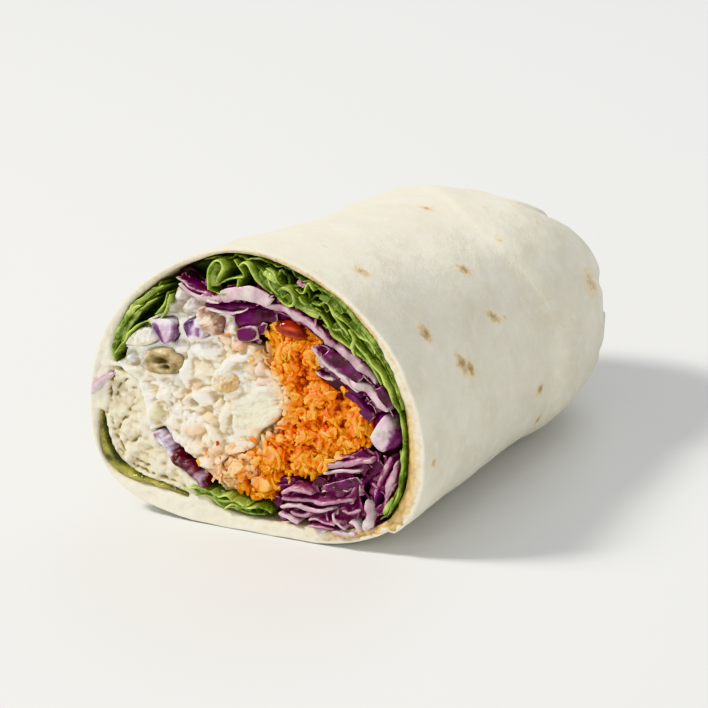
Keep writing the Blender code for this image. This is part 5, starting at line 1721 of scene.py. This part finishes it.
def onion_slice():
    """A slice of red onion along the tortilla's inner end, dark where its skin side shows."""
    keys = [(-10.2, 8.7), (-13.8, 11.3), (-18.2, 14.8), (-21.6, 19.0)]
    points, faces, side = edge_strip(keys, 2.6, -0.3, FILL_DEPTH, 5, wobble=0.45, ragged=0.9, step=0.3,
                                     taper=0.3)
    low = soft_step(-19.2, -17.0, points[:, 0])
    share = unit(0.16 + 0.66 * low + 0.7 * layered(points[:, :2], 1.1, 3, 3) + 0.15 * np.abs(side))
    tint = toned(share, (0.80, 0.76, 0.80), (0.46, 0.36, 0.48), (0.20, 0.05, 0.08), (0.08, 0.008, 0.015))
    build_piece("onion_slice", "onion", "onion_strip", points, faces, tint=tint)


# ---------------- lettuce

LEAF_ROWS = np.array([0, 0.06, 0.18, 0.4, 0.8, 1.3, 2, 2.8, 3.8, 5, 6.6, 8.6, 11, 14, 18, 24, 34, 50, 71.5])
SHEET_THICKNESS = 0.45
FACE_THICKNESS = 0.5
CORE_POINTS = 60
CORE_STEP = 0.7
# Each space for leaves lies between an inner and an outer curve
LEAF_SPACES = {
    "left": (LEAF_INNER, WALL_LEFT), "top": (RUFFLE_INNER, WALL_TOP), "right": (RIGHT_INNER, WALL_RIGHT),
    "base": (curve([(3.6, 4.0), (-0.4, 4.1), (-3.6, 4.3), (-6.6, 4.7), (-8.6, 5.6), (-13.0, 6.4)]),
             curve([(3.4, 5.8), (-0.4, 5.8), (-3.6, 6.6), (-6.6, 6.6), (-8.8, 8.2), (-13.4, 8.4)]))}
# Sheets of each leaf: space, start and end along it, place across it, swing, waves, front, how light
LEAF_SHEETS = {
    "left": [("left", 0, 0.9, 0.86, 0.07, 4, 0, 0.25), ("left", 0.1, 0.8, 0.7, 0.08, 3, 0.8, 0.1)],
    "top": [("top", 0.1, 0.56, 0.9, 0.06, 5, 0.6, 0.1), ("top", 0.3, 0.57, 0.6, 0.16, 4, 0.9, 0.2),
            ("top", 0.33, 0.57, 0.16, 0.1, 3, 0.4, 0.2)],
    "shoulder": [("top", 0.55, 0.98, 0.9, 0.05, 5, 0.3, 0.1), ("top", 0.55, 0.97, 0.7, 0.07, 5, 0.6, 0.3)],
    "shoulder_inner": [("top", 0.55, 0.96, 0.14, 0.07, 5, 0.2, 0.3),
                       ("top", 0.58, 0.96, 0.38, 0.08, 4, 0.7, 0.1)],
    "right": [("right", 0.02, 0.98, 0.6, 0.12, 4, 0.3, 0.2)],
    "base": [("base", 0.02, 0.98, 0.5, 0.3, 6, 0.3, 0.35)]}
# Leaf edges traced on the cut: middle line, thickness, front, lean, how light
LEAF_EDGES = {
    "top": [
        ([(-8.6, 52.5), (-8.8, 55), (-8.2, 57.4), (-6.8, 59), (-5.7, 58), (-6.6, 55.8),
          (-7, 54)], 0.55, -0.6, 0.1, 0.6),
        ([(-8.8, 52.6), (-6.6, 51.9), (-4.2, 52.6), (-2.8, 54), (-2.2, 55.8)], 0.5, -0.7, 0, 0.35),
        ([(-7.2, 53.6), (-5.6, 54.8), (-3.8, 55.7), (-1.6, 56.2)], 0.45, -0.3, 0.05, 0.5),
        ([(-3.6, 59.6), (-2.4, 57.8), (-1.9, 56)], 0.45, 0, 0, 0.75),
        ([(-2.4, 58.2), (-1.3, 59.4), (-0.2, 59.2), (0.7, 57.6), (1.8, 55.6), (4.4, 53.6)],
         0.5, -0.5, 0, 0.85),
        ([(0.8, 59), (2, 58.2), (3, 56.8), (3.8, 55), (5.4, 53.4)], 0.5, 0.3, 0.1, 0.35),
        ([(3, 58.8), (4.6, 57.8), (5.6, 56.4), (6.6, 55.4)], 0.5, -0.1, 0, 0.6),
        ([(6, 54.6), (6.7, 55.3), (7.9, 55.2), (8.8, 54), (8.9, 52.4), (8, 51.6), (6.6, 52.2),
          (5.8, 53.2)], 0.6, -0.8, 0, 0.7),
        ([(9.2, 55.4), (10.4, 54.6), (11.2, 56.2), (12.2, 57.2), (13.2, 55.6)], 0.4, -0.2, 0, 0.95),
        ([(9.6, 53.8), (11, 52.6), (12.6, 51.6), (14.6, 50.2)], 0.6, 0.2, 0.1, 0.3)],
    "shoulder": [
        ([(13.2, 56.2), (15.4, 55.8), (17.6, 54.6), (20.4, 52.2), (23.6, 48.6), (27, 43.6), (29.6, 38.4),
          (31.4, 33.2)], 0.7, -0.1, 0, 0.2),
        ([(16.2, 54.2), (18.4, 53.4), (20.6, 50.8), (23, 47.8), (26.2, 43.2), (28.8, 38.6)],
         0.45, 0.4, 0.08, 0.5),
        ([(17.4, 51.8), (20, 49.9), (22.4, 47.6), (24.6, 46.4), (25.8, 44.4)], 0.5, -0.5, 0, 0.8),
        ([(21.4, 46.2), (23.8, 43.8), (26.8, 40.2), (29.2, 36.2), (30.8, 32.4)], 0.65, -0.7, 0, 0.7)],
    "shoulder_inner": [
        ([(11, 51.6), (13.6, 51.3), (15.4, 49.6), (17.2, 46.9), (19.4, 45.3), (22, 43.6), (24.6, 41.6),
          (27.2, 38)], 0.6, -0.5, 0, 0.45),
        ([(20.6, 48.8), (21.6, 46.9), (21.2, 45), (21.8, 43.4)], 0.5, -0.6, 0, 0.75),
        ([(12.4, 53), (14.2, 52.6), (15.6, 53.4), (16.6, 52.2), (18.2, 49.2), (20.2, 47.2)],
         0.5, -0.1, 0, 0.35),
        ([(14.6, 48.6), (17, 47.8), (19.4, 46.6), (20.8, 45)], 0.5, 0.3, 0, 0.2)],
    "right": [
        ([(31, 32.6), (31.6, 28.6), (31.7, 24), (31.4, 19.4), (30.6, 14.8), (28.8, 10), (27.2, 8.6)],
         0.6, -0.5, 0, 0.45),
        ([(30.6, 24), (31, 20), (30.2, 16), (28.8, 12.4), (27.4, 9.6)], 0.5, 0.4, 0, 0.25),
        ([(29.6, 13.6), (28.6, 11.8), (27.9, 9.4)], 1, -0.3, 0, 0.55)],
    "left": [
        ([(-30, 34.6), (-29.2, 38.4), (-27.4, 42.8), (-24.6, 46.8), (-21.2, 49.8), (-18.4, 51.8)],
         1.1, -0.5, 0, 0.35),
        ([(-29, 35.6), (-28.2, 39), (-26.4, 42.6), (-23.6, 46.2), (-20.2, 49)], 0.5, 0.2, 0, 0.7),
        ([(-26.8, 44.2), (-25.6, 44.6), (-24.8, 46), (-23.4, 46.8)], 0.7, -0.5, 0, 0.6)],
    "left_inner": [
        ([(-29.2, 35.4), (-26.4, 39.8), (-22.8, 43.3), (-19.6, 44.6), (-17.8, 47.6), (-17, 50.2)],
         0.35, -0.6, 0, 0.95),
        ([(-20.4, 45.2), (-18.8, 47.4), (-17.6, 50.6)], 0.4, -0.2, 0, 0.6),
        ([(-26.8, 37.6), (-24.4, 40.8), (-21.4, 43.2)], 0.4, 0.2, 0, 0.2)],
    "base": [
        ([(-15.2, 7.4), (-12.2, 8), (-9.6, 7.6), (-7.2, 6.2), (-4.2, 6.6), (-1.6, 5.6), (1.2, 6.2),
          (3.6, 5.2)], 0.6, -0.4, 0.1, 0.6),
        ([(-12.8, 6.4), (-10, 6.6), (-7.4, 5), (-4.4, 5.2), (-1.2, 4.4), (2.4, 4.7)], 0.5, -0.2, 0, 0.5),
        ([(-9.2, 8.2), (-7.6, 7), (-5.8, 7.6), (-4.4, 6.4)], 0.5, -0.6, 0, 0.7),
        ([(-6.4, 4.6), (-4.6, 5.9), (-2.8, 5.4), (-0.8, 6.6)], 0.5, -0.5, 0, 0.6)]}
# Leaf faces that turn to the viewer: middle line, width, front, slope, curl, how light
LEAF_FACES = {
    "top": [
        ([(-8.2, 53.2), (-7.9, 55.6), (-7, 58.2)], 1.9, 0.2, -0.5, 0.6, 0.5),
        ([(1.2, 57.6), (3.4, 55.8), (5.6, 54), (8.4, 52.4)], 3, 0.7, 0.35, 0.4, 0.1),
        ([(2.6, 57.9), (4.2, 57.2), (5.4, 56.2)], 1.3, 0, 0.5, 0.5, 0.75),
        ([(8.8, 52.6), (11, 51.6), (14, 50.4)], 1.8, 0.3, 0.4, 0.5, 0.45)],
    "shoulder": [
        ([(14, 54.6), (16.6, 53.8), (19, 51.8)], 1.8, 0.6, 0.5, 0.5, 0.2),
        ([(20.4, 50.2), (23, 47.6), (25.6, 43.8)], 1.7, 0.7, 0.5, 0.4, 0.15)],
    "shoulder_inner": [
        ([(16.4, 48.6), (18.8, 47.2), (20.4, 46)], 1.6, 0.8, 0.4, 0.4, 0.15)],
    "left": [
        ([(-28.4, 37.6), (-26.8, 41.6), (-24, 45.6)], 1.5, 0.3, 0.5, 0.4, 0.45)],
    "base": [
        ([(-12.6, 7.2), (-9, 6.6), (-5, 6), (-1, 5.4)], 2.4, 0.8, 0.4, 0.5, 0.1)]}
# The part of its space that each leaf's inner part fills, painted dark as shade: space, start, end, low and
# high side
LEAF_CORES = {
    "left": ("left", 0, 0.93, 0.1, 0.96), "left_inner": ("left", 0.3, 0.9, 0.04, 0.46),
    "top": ("top", 0.02, 0.56, 0.06, 0.95), "shoulder": ("top", 0.57, 0.98, 0.52, 0.95),
    "shoulder_inner": ("top", 0.57, 0.92, 0.06, 0.5), "right": ("right", 0.03, 0.97, 0.12, 0.92),
    "base": ("base", 0, 0.62, 0, 1)}


def leaf_sheet(space, start, end, at, swing, waves, front, seed):
    """A thin leaf between two curves, ruffled most where the knife cut it."""
    inner, outer = LEAF_SPACES[space]
    length = (lengths(inner).sum() + lengths(outer).sum()) / 2 * (end - start)
    u = np.linspace(0, 1, max(24, int(length / 0.3)))
    uu, vv = crossed(u, LEAF_ROWS)
    run = (uu * length, vv * 0.5)
    phase = 2 * np.pi * (waves * uu + 0.35 * noise(run, 7.0, seed) + 0.05 * vv * math.sin(seed))
    calm = 0.35 + 0.65 * np.exp(-vv / 5)
    wave = np.sin(phase) + 0.35 * np.sin(2.7 * phase + seed)
    height = at + swing * calm * wave * (1 + 0.6 * noise(run, 5.0, seed + 2))
    flat = between(inner, outer, start + (end - start) * uu, np.clip(height, 0.03, 0.96))
    torn = 0.9 * layered((uu * length,), 2.4, 3, seed + 4)
    depth = vv + (front + torn) * unit(1 - vv / 20)
    ends = np.minimum(np.minimum(u, 1 - u) * length / 0.5, 1)
    full_u = np.sqrt(1 - (1 - ends) ** 2)
    full_v = np.sqrt(1 - (1 - np.minimum(LEAF_ROWS / 0.4, 1)) ** 2)
    full_v[-1] = 0
    return pillow(np.column_stack([flat, depth]), SHEET_THICKNESS / 2 * np.outer(full_u, full_v))


def leaf_core(space, start, end, low, high):
    """A solid that fills a part of the space between two curves, sunk behind the cut."""
    inner, outer = LEAF_SPACES[space]
    run = np.linspace(start, end, CORE_POINTS)
    outline = loop(between(inner, outer, run, np.full(CORE_POINTS, low)),
                   between(inner, outer, run[::-1], np.full(CORE_POINTS, high)))
    return body(outline, CORE_STEP, lambda flat, edge: 4.2 + 0.8 * noise(flat, 2.5, 3), FILL_DEPTH - 0.5)


def lettuce():
    """Ruffled leaves: sheets, edges and faces traced on the cut, and inner parts behind them, painted dark
    as shade.
    """
    piles = {}

    def add_leaf(leaf, part, front, light, seed):
        """Lighter along the cut edge and in patches, partly painted highlight; painted shade darkens it
        further in.
        """
        points, faces, _ = part
        edge = fade(np.maximum(points[:, 2] - front, 0), 0.9)
        patch = 0.7 * layered(points[:, :2] + points[:, 2:] * 0.3, 2.2, 2, seed + 6)
        piles.setdefault(leaf, Pile()).add(
            points, faces, rim=unit((light + patch) * (0.35 + 0.65 * edge)),
            deep=unit((points[:, 2] - 0.6) / 3.0 - patch * 0.3))

    def numbered(table):
        return enumerate((leaf, *row) for leaf, rows in table.items() for row in rows)

    for i, (leaf, *sheet, front, light) in numbered(LEAF_SHEETS):
        add_leaf(leaf, leaf_sheet(*sheet, front, 11 + i), front, light, 11 + i)
    for i, (leaf, keys, thickness, front, lean, light) in numbered(LEAF_EDGES):
        edge = edge_strip(keys, thickness, front, 9 + 3 * math.sin(i), 200 + i, wobble=0.22, ragged=0.8,
                          step=0.35, taper=0.5, lean=lean + 0.06 * math.sin(2 * i))
        add_leaf(leaf, edge, front, light, i)
    for i, (leaf, keys, width, front, slope, curl, light) in numbered(LEAF_FACES):
        face = face_plate(keys, width, FACE_THICKNESS, front, slope, curl, 300 + i)
        add_leaf(leaf, face, front, light, 40 + i)
    for leaf, core in LEAF_CORES.items():
        points, faces, _ = leaf_core(*core)
        # the inner part is painted in full shade
        piles[leaf].add(points, faces, rim=0.0, deep=1.0)
    for leaf, pile in piles.items():
        finish_piece(pile.mesh(f"lettuce_{leaf}_leaf"), "lettuce", "lettuce_" + leaf)


def tucked_leaf():
    """The olive-green leaf between the tortilla's layers."""
    def front(flat, edge):
        return -0.1 + 0.25 * layered(flat, 2.0, 3, 7) + 0.5 * np.exp(-edge / 0.25)

    points, faces, _ = body(loop(TUCKED[0], TUCKED[1][::-1]), 0.35, front, FILL_DEPTH - 0.4)
    flat = points[:, :2]
    # lighter low down; darker high up and along the outer edge, towards the near black of the leaf's painted
    # shade
    low = soft_step(14, 8.5, flat[:, 1]) + 0.8 * layered(flat, 2.4, 3, 3)
    outer = soft_step(0.5, 0.1, line_distance(flat, TUCKED[0]))
    build_piece("tucked_leaf_strip", "old_leaf", "tucked_leaf", points, faces,
                rim=unit(0.1 + 0.5 * low - 0.4 * outer),
                deep=np.clip(0.5 - low + 0.8 * outer, 0, 0.9))


# ---------------- floor, light and camera

FLOOR_HALF = 3.0
FLOOR_COLOUR = (0.74, 0.745, 0.735)
SKY_STRENGTH = 0.42
LENS = 172.0                # millimetres on a sensor 36 mm wide
EYE = (358.8, -500.6, 310.5)            # millimetres from the middle of the cut
LOOKED_AT = (-0.004, -0.004, 0.0235)
# Lamps: name, place, size, power, colour
LAMPS = (("key", (-0.52, -0.42, 0.72), 0.22, 10.0, (1.0, 0.97, 0.92)),
         ("front_fill", (0.35, -0.9, 0.35), 0.8, 2.4, (1.0, 0.99, 0.97)),
         ("side_fill", (0.8, -0.1, 0.55), 0.7, 1.3, (1.0, 0.99, 0.95)),
         ("back_fill", (-0.1, 0.8, 0.7), 0.7, 3.0, (0.97, 0.98, 1.0)))


def aimed(name, data, spot, target):
    """A lamp or camera at a spot, turned to a target."""
    thing = add_object(name, data)
    thing.location = spot
    thing.rotation_euler = (target - spot).to_track_quat("-Z", "Y").to_euler()
    return thing


def stage_and_light():
    scene = bpy.context.scene
    mesh = bpy.data.meshes.new("floor")
    corners = [(FLOOR_HALF * x, FLOOR_HALF * y, 0) for x, y in ((-1, -1), (1, -1), (1, 1), (-1, 1))]
    mesh.from_pydata(corners, [], [(0, 1, 2, 3)])
    Finish("floor", 0.7).colour(FLOOR_COLOUR)
    mesh.materials.append(MATERIALS["floor"])
    floor = add_object("floor", mesh)

    world = bpy.data.worlds.new("studio")
    world.use_nodes = True
    world.node_tree.nodes["Background"].inputs["Color"].default_value = (0.97, 0.98, 1.0, 1)
    world.node_tree.nodes["Background"].inputs["Strength"].default_value = SKY_STRENGTH
    scene.world = world
    middle = (CAD_BOX[0] + CAD_BOX[1]) / 2
    for name, spot, size, power, colour in LAMPS:
        lamp = bpy.data.lights.new(name, "AREA")
        lamp.energy = power
        lamp.color = colour
        lamp.size = size
        aimed(name, lamp, Vector(spot), middle)

    camera = bpy.data.cameras.new("camera")
    camera.lens = LENS
    camera.sensor_width = 36.0
    camera.clip_start = 0.01
    scene.camera = aimed("camera", camera, Vector(CUT_MIDDLE) + Vector(EYE) * MM, Vector(LOOKED_AT))
    scene.view_settings.view_transform = "Khronos PBR Neutral"


tortilla()
carrot(salad())
chunks()
cabbage("cabbage_top", CABBAGE_TOP_SPACE, TOP_STRIPS, TOP_SCRAPS, 40)
cabbage("cabbage_base", CABBAGE_BASE_SPACE, BASE_STRIPS, BASE_SCRAPS, 50)
rib_and_sliver()
onion_slice()
lettuce()
tucked_leaf()
stage_and_light()
